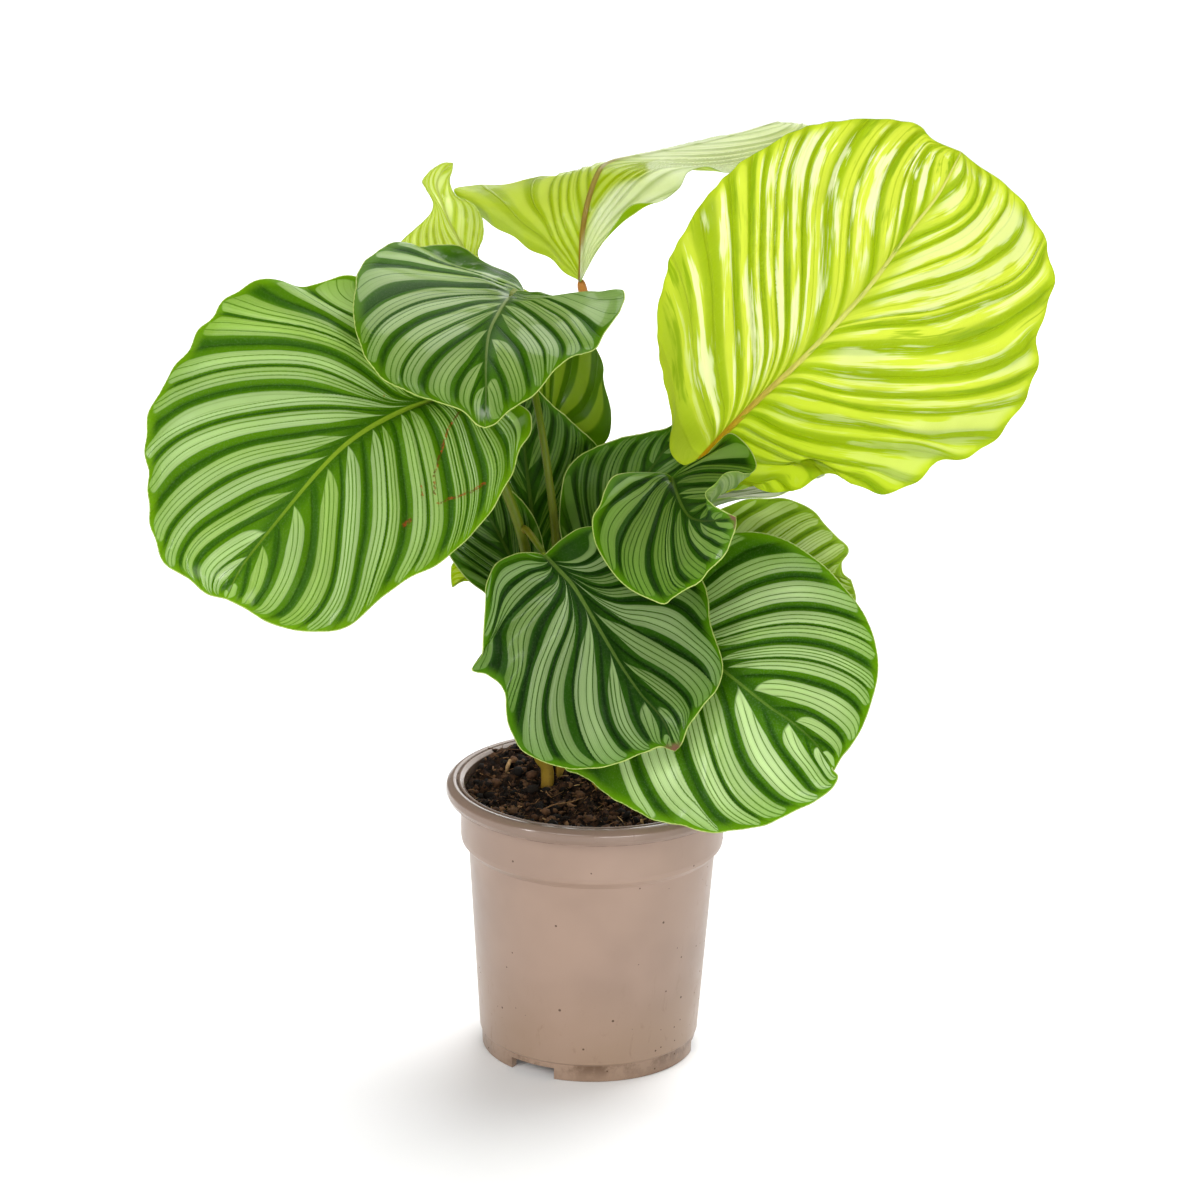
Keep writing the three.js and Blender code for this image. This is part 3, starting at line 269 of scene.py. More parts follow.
PALE = {
    'left_large': ([(-0.116, -0.106, []), (-0.1, -0.082, [-0.094, -0.088]), (-0.063, -0.047, [-0.058, -0.052]),
         (-0.042, -0.024, [-0.036, -0.03]), (0.005, 0.015, [0.01]), (0.019, 0.03, [0.025]),
         (0.042, 0.054, [0.048]), (0.059, 0.072, [0.065]), (0.109, 0.147, [0.122, 0.135]),
         (0.158, 0.198, [0.17, 0.183]), (0.242, 0.277, [0.252, 0.265]), (0.287, 0.338, [0.304, 0.32]),
         (0.388, 0.455, [0.407, 0.423, 0.438]), (0.492, 0.581, [0.513, 0.535, 0.558]),
         (0.661, 0.743, [0.692, 0.714]), (0.812, 0.885, [0.845])],
        [(-0.1, -0.084, [-0.093]), (-0.08, -0.068, [-0.074]), (-0.056, -0.045, [-0.052, -0.049]),
         (-0.043, -0.033, [-0.04, -0.036]), (-0.022, -0.011, [-0.018, -0.014]),
         (-0.008, 0.002, [-0.004, -0.001]), (0.013, 0.058, [0.028, 0.043]),
         (0.085, 0.154, [0.101, 0.127]), (0.218, 0.302, [0.24, 0.259, 0.28]),
         (0.341, 0.426, [0.37, 0.396]), (0.491, 0.578, [0.52, 0.537]), (0.653, 0.791, [0.709, 0.75]),
         (0.815, 0.905, [0.86])]),
    'top_front': ([(-0.105, -0.08, [-0.097, -0.088]), (-0.064, -0.005, [-0.052, -0.037, -0.021]),
         (0.008, 0.066, [0.038]), (0.084, 0.158, [0.108, 0.128]), (0.202, 0.284, [0.235, 0.26]),
         (0.308, 0.407, [0.333, 0.359, 0.385]), (0.494, 0.639, [0.53, 0.565, 0.6]),
         (0.729, 0.893, [0.77, 0.811])],
        [(-0.103, -0.085, []), (-0.074, -0.062, []), (-0.046, -0.018, [-0.033]),
         (0.033, 0.1, [0.06, 0.082]), (0.114, 0.177, [0.13, 0.148]), (0.231, 0.316, [0.265, 0.295]),
         (0.34, 0.427, [0.36, 0.385]), (0.498, 0.64, [0.53, 0.567, 0.605]), (0.722, 0.824, [0.767]),
         (0.875, 0.955, [0.91])]),
    'right_tall': ([(-0.077, -0.04, []), (-0.03, -0.004, []), (0.017, 0.04, []), (0.062, 0.09, []),
         (0.105, 0.12, []), (0.133, 0.156, []), (0.181, 0.199, []), (0.225, 0.254, []),
         (0.27, 0.288, []), (0.305, 0.326, []), (0.36, 0.393, []), (0.435, 0.467, []), (0.49, 0.501, []),
         (0.509, 0.569, [0.535]), (0.597, 0.651, [0.625]), (0.662, 0.731, [0.7]), (0.755, 0.785, []),
         (0.82, 0.927, [0.86])],
        [(-0.104, -0.09, []), (-0.073, -0.061, []), (-0.037, -0.02, []), (0.011, 0.047, []),
         (0.073, 0.093, []), (0.115, 0.147, [0.13]), (0.158, 0.184, []), (0.21, 0.25, [0.23]),
         (0.273, 0.333, [0.303]), (0.392, 0.45, [0.42]), (0.476, 0.567, [0.531]), (0.609, 0.676, [0.64]),
         (0.686, 0.705, []), (0.755, 0.79, []), (0.82, 0.92, [0.87])]),
    'front_centre': ([(-0.119, -0.111, []), (-0.103, -0.09, [-0.097]), (-0.08, -0.067, [-0.076, -0.071]),
         (-0.058, -0.045, [-0.054, -0.049]), (-0.034, -0.007, [-0.027, -0.021, -0.014]),
         (0.011, 0.249, [0.065, 0.13, 0.2], (0.085, -0.012), (0.005, 0.035), [(0.055, 0.0), (0.03, 0.02), (0.0, 0.03)]),
         (0.366, 0.567, [0.41, 0.455, 0.51], (0.0, -0.02), (-0.035, 0.06), [(-0.005, 0.0), (-0.02, 0.045), (-0.03, 0.06)]),
         (0.69, 0.9, [0.745, 0.82], (-0.07, 0.05), (-0.03, 0.02), [(-0.05, 0.03), (-0.03, 0.02)])],
        [(-0.118, -0.109, []), (-0.1, -0.088, [-0.094]), (-0.08, -0.066, [-0.075, -0.07]),
         (-0.054, -0.033, [-0.048, -0.043, -0.038]), (-0.019, 0.001, [-0.012, -0.006]),
         (0.009, 0.026, [0.018]),
         (0.063, 0.28, [0.1, 0.175, 0.235], (0.085, -0.03), (0.01, 0.04), [(0.07, -0.02), (0.045, -0.01), (0.02, 0.02)]),
         (0.385, 0.552, [0.42, 0.458, 0.51], (0.0, 0.0), (0.0, 0.085), [(0.0, 0.01), (0.0, 0.045), (0.0, 0.07)]),
         (0.66, 0.8, [0.7, 0.75], (-0.03, 0.1), (-0.01, 0.06), [(-0.02, 0.08), (-0.01, 0.06)]),
         (0.84, 0.95, [0.89])]),
    'right_low': ([(-0.118, -0.106, []), (-0.095, -0.07, [-0.087, -0.078]),
         (-0.05, -0.012, [-0.04, -0.031, -0.021]), (0.036, 0.097, [0.052, 0.07, 0.085]),
         (0.129, 0.197, [0.145, 0.167, 0.183]), (0.231, 0.274, [0.245, 0.26]),
         (0.284, 0.331, [0.298, 0.314]), (0.37, 0.424, [0.384, 0.397, 0.411]),
         (0.438, 0.496, [0.452, 0.474]), (0.555, 0.701, [0.585, 0.621, 0.665]), (0.778, 0.885, [0.83])],
        [(-0.1, -0.085, [-0.092]), (-0.067, -0.025, [-0.057, -0.046, -0.036]),
         (0.073, 0.183, [0.095, 0.121, 0.157]), (0.216, 0.348, [0.24, 0.277, 0.318]),
         (0.432, 0.592, [0.46, 0.507, 0.555]), (0.674, 0.795, [0.71, 0.75]), (0.83, 0.93, [0.88])]),
    'front_small': ([(-0.1, -0.08, []), (-0.055, -0.02, []), (0.005, 0.05, [0.03]), (0.095, 0.18, [0.12, 0.15]),
         (0.24, 0.3, [0.27]), (0.312, 0.375, [0.345]), (0.46, 0.585, [0.5, 0.545]), (0.66, 0.75, [0.7]),
         (0.81, 0.9, [0.85])],
        [(-0.115, -0.09, []), (-0.061, -0.002, [-0.03]), (0.051, 0.204, [0.075, 0.103, 0.133, 0.17]),
         (0.269, 0.349, [0.301, 0.326]), (0.358, 0.393, [0.375]), (0.439, 0.556, [0.46, 0.499, 0.53]),
         (0.609, 0.694, [0.645]), (0.739, 0.825, [0.78]), (0.87, 0.94, [])]),
    'right_middle': ([(-0.1, -0.08, []), (-0.049, 0.009, [-0.02]), (0.086, 0.164, [0.111, 0.138]),
         (0.173, 0.244, [0.192, 0.219]), (0.301, 0.421, [0.322, 0.345, 0.365, 0.392]),
         (0.475, 0.588, [0.502, 0.543, 0.566]), (0.659, 0.735, [0.7]), (0.787, 0.86, [0.82])],
        [(-0.1, -0.085, []), (-0.06, -0.03, []), (-0.01, 0.035, [0.012]), (0.075, 0.14, [0.1, 0.12]),
         (0.152, 0.205, [0.178]), (0.268, 0.352, [0.295, 0.325]), (0.44, 0.545, [0.475, 0.51]),
         (0.615, 0.7, [0.655]), (0.765, 0.85, [0.8]), (0.89, 0.95, [])]),
    'top_back': ([(-0.1, -0.085, []), (-0.065, -0.045, []), (-0.025, 0, []), (0.02, 0.05, []), (0.07, 0.105, []),
         (0.125, 0.165, [0.145]), (0.19, 0.235, []), (0.262, 0.315, [0.29]), (0.345, 0.4, []),
         (0.43, 0.495, [0.46]), (0.53, 0.6, [0.565]), (0.64, 0.71, [0.675]), (0.755, 0.82, []),
         (0.865, 0.93, [])],
        [(-0.1, -0.085, []), (-0.065, -0.045, []), (-0.025, 0, []), (0.02, 0.05, []), (0.07, 0.105, []),
         (0.125, 0.165, [0.145]), (0.19, 0.235, []), (0.262, 0.315, [0.29]), (0.345, 0.4, []),
         (0.43, 0.495, [0.46]), (0.53, 0.6, [0.565]), (0.64, 0.71, [0.675]), (0.755, 0.82, []),
         (0.865, 0.93, [])]),
    'back_left_curled': ([(-0.1, -0.085, []), (-0.065, -0.045, []), (-0.025, 0, []), (0.02, 0.05, []), (0.07, 0.105, []),
         (0.125, 0.165, [0.145]), (0.19, 0.235, []), (0.262, 0.315, [0.29]), (0.345, 0.4, []),
         (0.43, 0.495, [0.46]), (0.53, 0.6, [0.565]), (0.64, 0.71, [0.675]), (0.755, 0.82, []),
         (0.865, 0.93, [])],
        [(-0.1, -0.085, []), (-0.065, -0.045, []), (-0.025, 0, []), (0.02, 0.05, []), (0.07, 0.105, []),
         (0.125, 0.165, [0.145]), (0.19, 0.235, []), (0.262, 0.315, [0.29]), (0.345, 0.4, []),
         (0.43, 0.495, [0.46]), (0.53, 0.6, [0.565]), (0.64, 0.71, [0.675]), (0.755, 0.82, []),
         (0.865, 0.93, [])]),
    'back_centre': ([(-0.105, -0.085, []), (-0.065, -0.04, []), (-0.02, 0.02, [0]), (0.04, 0.085, [0.06]),
         (0.128, 0.178, [0.153]), (0.192, 0.25, [0.21, 0.23]), (0.312, 0.4, [0.34, 0.37]),
         (0.416, 0.47, [0.443]), (0.545, 0.655, [0.58, 0.62]), (0.725, 0.82, [0.77]), (0.87, 0.93, [])],
        [(-0.1, -0.085, []), (-0.06, -0.03, []), (-0.01, 0.035, [0.012]), (0.075, 0.14, [0.1, 0.12]),
         (0.152, 0.205, [0.178]), (0.268, 0.352, [0.295, 0.325]), (0.44, 0.545, [0.475, 0.51]),
         (0.615, 0.7, [0.655]), (0.765, 0.85, [0.8]), (0.89, 0.95, [])]),
    'back_right': ([(-0.1, -0.08, []), (-0.055, -0.02, []), (0.005, 0.05, [0.03]), (0.095, 0.18, [0.12, 0.15]),
         (0.24, 0.3, [0.27]), (0.312, 0.375, [0.345]), (0.46, 0.585, [0.5, 0.545]), (0.66, 0.75, [0.7]),
         (0.81, 0.9, [0.85])],
        [(-0.105, -0.085, []), (-0.065, -0.04, []), (-0.02, 0.02, [0]), (0.04, 0.085, [0.06]),
         (0.128, 0.178, [0.153]), (0.192, 0.25, [0.21, 0.23]), (0.312, 0.4, [0.34, 0.37]),
         (0.416, 0.47, [0.443]), (0.545, 0.655, [0.58, 0.62]), (0.725, 0.82, [0.77]), (0.87, 0.93, [])]),
    'lower_left': ([(-0.1, -0.085, []), (-0.06, -0.03, []), (-0.01, 0.035, [0.012]), (0.075, 0.14, [0.1, 0.12]),
         (0.152, 0.205, [0.178]), (0.268, 0.352, [0.295, 0.325]), (0.44, 0.545, [0.475, 0.51]),
         (0.615, 0.7, [0.655]), (0.765, 0.85, [0.8]), (0.89, 0.95, [])],
        [(-0.1, -0.08, []), (-0.055, -0.02, []), (0.005, 0.05, [0.03]), (0.095, 0.18, [0.12, 0.15]),
         (0.24, 0.3, [0.27]), (0.312, 0.375, [0.345]), (0.46, 0.585, [0.5, 0.545]), (0.66, 0.75, [0.7]),
         (0.81, 0.9, [0.85])]),
    'right_back': ([(-0.105, -0.085, []), (-0.065, -0.04, []), (-0.02, 0.02, [0]), (0.04, 0.085, [0.06]),
         (0.128, 0.178, [0.153]), (0.192, 0.25, [0.21, 0.23]), (0.312, 0.4, [0.34, 0.37]),
         (0.416, 0.47, [0.443]), (0.545, 0.655, [0.58, 0.62]), (0.725, 0.82, [0.77]), (0.87, 0.93, [])],
        [(-0.1, -0.08, []), (-0.055, -0.02, []), (0.005, 0.05, [0.03]), (0.095, 0.18, [0.12, 0.15]),
         (0.24, 0.3, [0.27]), (0.312, 0.375, [0.345]), (0.46, 0.585, [0.5, 0.545]), (0.66, 0.75, [0.7]),
         (0.81, 0.9, [0.85])]),
    'left_back_small': ([(-0.105, -0.085, []), (-0.065, -0.04, []), (-0.02, 0.02, [0]), (0.04, 0.085, [0.06]),
         (0.128, 0.178, [0.153]), (0.192, 0.25, [0.21, 0.23]), (0.312, 0.4, [0.34, 0.37]),
         (0.416, 0.47, [0.443]), (0.545, 0.655, [0.58, 0.62]), (0.725, 0.82, [0.77]), (0.87, 0.93, [])],
        [(-0.1, -0.08, []), (-0.055, -0.02, []), (0.005, 0.05, [0.03]), (0.095, 0.18, [0.12, 0.15]),
         (0.24, 0.3, [0.27]), (0.312, 0.375, [0.345]), (0.46, 0.585, [0.5, 0.545]), (0.66, 0.75, [0.7]),
         (0.81, 0.9, [0.85])]),
}

# ------------------------------------------------------------------- materials
def lin(r, g, b):
    """sRGB 0-255 to linear RGBA."""
    def f(c):
        c /= 255
        return c / 12.92 if c <= 0.04045 else ((c + 0.055) / 1.055) ** 2.4
    return (f(r), f(g), f(b), 1.0)


class Nodes:
    """Small helper for writing node materials."""

    def __init__(self, name):
        self.mat = bpy.data.materials.new(name)
        self.mat.use_nodes = True
        self.tree = self.mat.node_tree
        self.tree.nodes.clear()
        self.out = self.add('ShaderNodeOutputMaterial')

    def add(self, kind, **props):
        n = self.tree.nodes.new(kind)
        for k, v in props.items():
            setattr(n, k, v)
        return n

    def put(self, socket, value):
        if isinstance(value, bpy.types.NodeSocket):
            self.tree.links.new(value, socket)
        else:
            socket.default_value = value

    def math(self, op, a, b=None, c=None, clamp=False):
        n = self.add('ShaderNodeMath', operation=op, use_clamp=clamp)
        for k, x in enumerate((a, b, c)):
            if x is not None:
                self.put(n.inputs[k], x)
        return n.outputs[0]

    def step(self, x, lo, hi, a=0.0, b=1.0):
        n = self.add('ShaderNodeMapRange', interpolation_type='SMOOTHSTEP')
        for k, v in zip(('Value', 'From Min', 'From Max', 'To Min', 'To Max'), (x, lo, hi, a, b)):
            self.put(n.inputs[k], v)
        return n.outputs[0]

    def line(self, x, lo, hi, a=0.0, b=1.0):
        n = self.add('ShaderNodeMapRange', interpolation_type='LINEAR', clamp=True)
        for k, v in zip(('Value', 'From Min', 'From Max', 'To Min', 'To Max'), (x, lo, hi, a, b)):
            self.put(n.inputs[k], v)
        return n.outputs[0]

    def mix(self, fac, a, b, blend='MIX'):
        n = self.add('ShaderNodeMix', data_type='RGBA', blend_type=blend, clamp_factor=True)
        self.put(n.inputs[0], fac)
        self.put(n.inputs[6], a)
        self.put(n.inputs[7], b)
        return n.outputs[2]

    def mixf(self, fac, a, b):
        n = self.add('ShaderNodeMix', data_type='FLOAT', clamp_factor=True)
        self.put(n.inputs[0], fac)
        self.put(n.inputs[2], a)
        self.put(n.inputs[3], b)
        return n.outputs[0]

    def uv(self, name):
        n = self.add('ShaderNodeUVMap', uv_map=name)
        s = self.add('ShaderNodeSeparateXYZ')
        self.tree.links.new(n.outputs[0], s.inputs[0])
        return s.outputs[0], s.outputs[1]

    def where(self):
        return self.add('ShaderNodeTexCoord').outputs['Object']

    def vec(self, x, y, z=0.0):
        n = self.add('ShaderNodeCombineXYZ')
        for k, v in enumerate((x, y, z)):
            self.put(n.inputs[k], v)
        return n.outputs[0]

    def noise(self, vector, scale, detail=2.0, rough=0.5, dist=0.0, dims='3D', color=False):
        n = self.add('ShaderNodeTexNoise', noise_dimensions=dims)
        if vector is not None:
            self.put(n.inputs['Vector'], vector)
        self.put(n.inputs['Scale'], scale)
        self.put(n.inputs['Detail'], detail)
        self.put(n.inputs['Roughness'], rough)
        self.put(n.inputs['Distortion'], dist)
        return n.outputs[1 if color else 0]

    def hash(self, x):
        n = self.add('ShaderNodeTexWhiteNoise', noise_dimensions='1D')
        self.put(n.inputs['W'], x)
        return n.outputs['Value']

    def voronoi(self, vector, scale, feature='F1', rand=1.0):
        n = self.add('ShaderNodeTexVoronoi', feature=feature)
        self.put(n.inputs['Vector'], vector)
        self.put(n.inputs['Scale'], scale)
        self.put(n.inputs['Randomness'], rand)
        return n

    def bump(self, height, strength, distance, normal=None):
        n = self.add('ShaderNodeBump')
        self.put(n.inputs['Strength'], strength)
        self.put(n.inputs['Distance'], distance)
        self.put(n.inputs['Height'], height)
        if normal is not None:
            self.put(n.inputs['Normal'], normal)
        return n.outputs[0]

    def shader(self, color, rough, normal=None, **consts):
        p = self.add('ShaderNodeBsdfPrincipled')
        self.put(p.inputs['Base Color'], color)
        self.put(p.inputs['Roughness'], rough)
        if normal is not None:
            self.put(p.inputs['Normal'], normal)
        for k, v in consts.items():
            p.inputs[k.replace('_', ' ')].default_value = v
        return p.outputs[0]

    def finish(self, surface):
        self.put(self.out.inputs['Surface'], surface)
        return self.mat


def through(g, share, reflect, light, normal=None):
    """A thin leaf: part of the light is sent back, part comes through."""
    t = g.add('ShaderNodeBsdfTranslucent')
    g.put(t.inputs['Color'], light)
    if normal is not None:
        g.put(t.inputs['Normal'], normal)
    m = g.add('ShaderNodeMixShader')
    m.inputs[0].default_value = share
    g.put(m.inputs[1], reflect)
    g.put(m.inputs[2], t.outputs[0])
    return m.outputs[0]


def bands(g, start=0.005, wave=0.016, soft=1.0):
    """Masks of the leaf's pattern, from its maps."""
    phase, v = g.uv('Vein')
    hp, t = g.uv('Hair')
    edge, rib = g.uv('Dist')           # edge in cm, rib in midrib half widths
    run, side = g.uv('Run')
    pos = g.where()
    jitter = g.noise(pos, 55.0, 2.0)
    ph = g.math('ADD', phase, g.math('MULTIPLY', g.math('SUBTRACT', jitter, 0.5), wave * 2))
    number = g.math('FLOOR', g.math('ADD', ph, 0.5))
    x = g.math('SUBTRACT', ph, number)           # -0.5 .. 0.5, 0 in the middle of a gap
    ax = g.math('ABSOLUTE', x)
    patch = g.math('FLOOR', ph)
    r1, r2 = g.hash(patch), g.hash(g.math('ADD', number, 0.37))
    # the pale patches start as a long point near the midrib and close before the edge
    s0 = g.math('ADD', start, g.math('MULTIPLY', r1, 0.030))
    open_ = g.math('MAXIMUM', g.math('DIVIDE', g.math('SUBTRACT', v, s0), 0.20),
                   g.math('DIVIDE', g.math('SUBTRACT', side, g.math('ADD', 0.14, g.math('MULTIPLY', r1, 0.20))), 1.35))
    open_ = g.math('SUBTRACT', 1.0, open_, clamp=True)
    e0 = g.math('DIVIDE', g.math('SUBTRACT', edge, g.math('ADD', 0.01, g.math('MULTIPLY', r1, 0.09))), 0.40, clamp=True)
    e0 = g.math('SUBTRACT', 1.0, e0)
    shut = g.math('ADD', g.math('POWER', open_, 1.3), g.math('POWER', e0, 2.0))
    limit = g.math('ADD', 0.250, g.math('MULTIPLY', shut, 0.27))
    # their border is crisp inside and blurred towards the edge
    blur = g.math('ADD', 1.0, g.math('MULTIPLY', g.math('POWER', e0, 2.0), 2.5))
    light = g.step(g.math('DIVIDE', g.math('SUBTRACT', ax, limit), blur), -0.018 * soft, 0.024 * soft)
    # hairline veins inside the pale patches
    near = g.math('FLOOR', g.math('ADD', hp, 0.5))
    hd = g.math('ABSOLUTE', g.math('SUBTRACT', hp, near))
    apart, _ = g.uv('Grid')
    off = g.math('MULTIPLY', hd, apart)          # millimetres from the nearest hairline
    thick = g.line(g.hash(g.math('ADD', near, 0.11)), 0.0, 1.0, 0.65, 1.15)
    hair = g.step(g.math('DIVIDE', off, thick), 0.16, 0.52, 1.0, 0.0)
    hair = g.math('MULTIPLY', hair, g.step(hd, 0.30, 0.45, 1.0, 0.0))
    hair = g.math('MULTIPLY', hair, g.step(v, 0.04, 0.14))
    strand = g.hash(g.math('ADD', g.math('FLOOR', hp), 0.71))      # one value for each strip between hairlines
    fine = g.math('ABSOLUTE', g.math('SUBTRACT', g.math('FRACT', g.math('MULTIPLY', hp, 5.0)), 0.5))
    fine = g.math('MULTIPLY', g.step(fine, 0.34, 0.48), light)
    # the vein down the middle of each gap
    crease = g.math('MULTIPLY', g.step(ax, 0.012, 0.045, 1.0, 0.0), g.step(v, 0.02, 0.10))
    ribm = g.step(rib, 0.62, 1.0, 1.0, 0.0)
    return dict(phase=ph, v=v, t=t, hp=hp, edge=edge, rib=rib, run=run, side=side, pos=pos, x=x, ax=ax,
                light=light, hair=hair, fine=fine, strand=strand, beside=hd, crease=crease, ribm=ribm, r1=r1, r2=r2, number=number)


def scratch(g, x, z, pts, width):
    """Mask of a thin line through pts (mm, seen along Y)."""
    best = None
    for (ax, az), (bx, bz) in zip(pts[:-1], pts[1:]):
        dx, dz = bx - ax, bz - az
        n = dx * dx + dz * dz
        px, pz = g.math('SUBTRACT', x, ax), g.math('SUBTRACT', z, az)
        t = g.math('ADD', g.math('MULTIPLY', px, dx / n), g.math('MULTIPLY', pz, dz / n), clamp=True)
        ex, ez = g.math('SUBTRACT', px, g.math('MULTIPLY', t, dx)), g.math('SUBTRACT', pz, g.math('MULTIPLY', t, dz))
        d = g.math('SQRT', g.math('ADD', g.math('MULTIPLY', ex, ex), g.math('MULTIPLY', ez, ez)))
        best = d if best is None else g.math('MINIMUM', best, d)
    return g.step(best, width * 0.5, width, 1.0, 0.0)


def scale_color(g, col, f):
    return g.mix(1.0, col, g.vec(f, f, f), 'MULTIPLY')


def leaf_top(name, pale_a, pale_b, dark_a, dark_b, margin, midrib, glow, share=0.25, rough=0.42, ior=0.25,
             scratches=None, rim_width=0.45, line=0.55, coat=0.30, depth=1.0, tip=None, painted_sheen=None):
    g = Nodes(name)
    b = bands(g)
    pos = b['pos']
    # fine cells run across the veins
    s = g.vec(g.math('MULTIPLY', b['hp'], 1.2), g.math('MULTIPLY', b['side'], 9.0), g.math('MULTIPLY', b['phase'], 1.3))
    cells = g.noise(s, 4.0, 3.0, 0.65)
    grain = g.noise(pos, 950.0, 2.0, 0.6)
    mottle = g.noise(pos, 260.0, 3.0, 0.6)
    slow = g.noise(pos, 20.0, 3.0, 0.55)
    tone = g.math('ADD', g.math('MULTIPLY', b['r1'], 0.6), g.math('MULTIPLY', slow, 0.4))
    pale = g.mix(g.step(tone, 0.25, 0.75), pale_a, pale_b)
    # a soft darker border round every patch, a paler heart
    heart = g.step(b['ax'], 0.27, 0.40)
    pale = scale_color(g, pale, g.line(heart, 0.0, 1.0, 0.84, 1.05))
    pale = scale_color(g, pale, g.line(b['strand'], 0.0, 1.0, 0.90, 1.08))
    pale = scale_color(g, pale, g.step(b['beside'], 0.10, 0.42, 0.92, 1.03))
    pale = g.mix(g.step(b['edge'], 0.1, 2.4, 0.42, 0.0), pale, margin)
    # a gap is deep green on the side of its vein and mid green on the other
    core = g.math('ABSOLUTE', g.math('ADD', b['x'], g.math('MULTIPLY', g.math('SUBTRACT', b['r2'], 0.5), 0.22)))
    deep = g.step(g.math('ADD', core, g.math('MULTIPLY', g.math('SUBTRACT', mottle, 0.5), 0.08)), 0.05, 0.21, 1.0, 0.0)
    deep = g.math('MAXIMUM', deep, g.step(b['v'], 0.03, 0.12, 0.75, 0.0))
    dark = g.mix(deep, dark_b, dark_a)
    dark = g.mix(g.math('MULTIPLY', g.step(cells, 0.50, 0.72), 0.30), dark, dark_b)
    col = g.mix(b['light'], dark, pale)
    k = g.math('MULTIPLY', b['hair'], g.mixf(b['light'], 0.25, line))
    col = g.mix(k, col, g.mix(b['light'], dark_a, dark_b))
    col = g.mix(g.math('MULTIPLY', b['fine'], 0.24), col, dark_b)
    col = g.mix(g.math('MULTIPLY', b['crease'], 0.45), col, scale_color(g, dark_a, 0.6))
    dust = g.math('MULTIPLY', g.math('SUBTRACT', grain, 0.5), g.line(b['light'], 0.0, 1.0, 0.35, 0.8), clamp=True)
    col = g.mix(dust, col, pale_a)
    # margin: brighter, with a thin cream line at the very edge
    wob = g.math('MULTIPLY', g.math('SUBTRACT', slow, 0.5), 0.35)
    m = g.step(g.math('ADD', b['edge'], wob), 0.05, rim_width + 0.20, 1.0, 0.0)
    m = g.math('MULTIPLY', m, g.math('SUBTRACT', 1.0, g.math('MULTIPLY', b['light'], 0.75)))
    col = g.mix(g.math('MULTIPLY', m, 0.80), col, margin)
    col = g.mix(g.step(b['edge'], 0.02, 0.06, 0.85, 0.0), col, lin(205, 215, 130))
    # the midrib: a fine bright line that fades towards the tip
    streak = g.noise(g.vec(g.math('MULTIPLY', b['rib'], 3.0), g.math('MULTIPLY', b['run'], 14.0), 0.0), 2.5, 2.0)
    rib_col = g.mix(streak, midrib[0], midrib[1])
    col = g.mix(g.math('MULTIPLY', b['ribm'], g.step(b['run'], 0.25, 0.95, midrib[2], midrib[3])), col, rib_col)
    if scratches:
        sep = g.add('ShaderNodeSeparateXYZ')
        g.put(sep.inputs[0], pos)
        w1, w2 = g.noise(pos, 180.0, 3.0, 0.7), g.noise(pos, 700.0, 2.0, 0.6)
        wob = g.math('ADD', g.math('MULTIPLY', g.math('SUBTRACT', w1, 0.5), 5.0), g.math('MULTIPLY', g.math('SUBTRACT', w2, 0.5), 1.5))
        x = g.math('ADD', g.math('MULTIPLY', sep.outputs[0], 1000.0), wob)
        z = g.math('ADD', g.math('MULTIPLY', sep.outputs[2], 1000.0), wob)
        k = 0.0
        for pts, width in scratches:
            k = g.math('MAXIMUM', k, scratch(g, x, z, pts, width))
        k = g.math('MULTIPLY', k, g.step(w2, 0.40, 0.50))
        # a few rusty flecks
        cell = g.voronoi(pos, 75.0)
        who = g.add('ShaderNodeSeparateXYZ')
        g.put(who.inputs[0], cell.outputs['Color'])
        fleck = g.math('MULTIPLY', g.math('LESS_THAN', who.outputs[0], 0.045), g.math('LESS_THAN', cell.outputs['Distance'], 0.055))
        # yellower and a little darker towards the top of the blade, by height
        col = g.mix(g.step(sep.outputs[2], 0.395, 0.475, 0.0, 1.0), col, (0.93, 0.96, 0.62, 1), 'MULTIPLY')
        k = g.math('MAXIMUM', g.math('MULTIPLY', k, 0.85), g.math('MULTIPLY', fleck, 0.8))
        col = g.mix(k, col, g.mix(g.step(w1, 0.45, 0.55), lin(168, 62, 22), lin(96, 52, 24)))
    if tip is not None:
        k = g.math('ADD', b['run'], g.math('MULTIPLY', g.math('SUBTRACT', mottle, 0.5), 0.05))
        col = g.mix(g.step(k, tip[0], tip[1]), col, tip[2])
    if painted_sheen is not None:
        # painted sheen: whitish highlight streaks in thin strips near the stalk and near the tip
        n = g.noise(g.vec(g.math('MULTIPLY', b['hp'], 0.8), g.math('MULTIPLY', b['side'], 0.5), g.math('MULTIPLY', b['run'], 5.0)), 2.2, 3.0, 0.6)
        k = g.math('MAXIMUM', g.step(b['run'], painted_sheen[0], painted_sheen[1], 1.0, 0.0), g.step(b['run'], painted_sheen[2], painted_sheen[3], 0.0, painted_sheen[4]))
        k = g.math('MULTIPLY', k, g.step(n, 0.48, 0.64))
        k = g.math('MULTIPLY', k, g.step(b['edge'], 0.1, 0.9))
        col = g.mix(g.math('MULTIPLY', k, 0.70), col, painted_sheen[5])
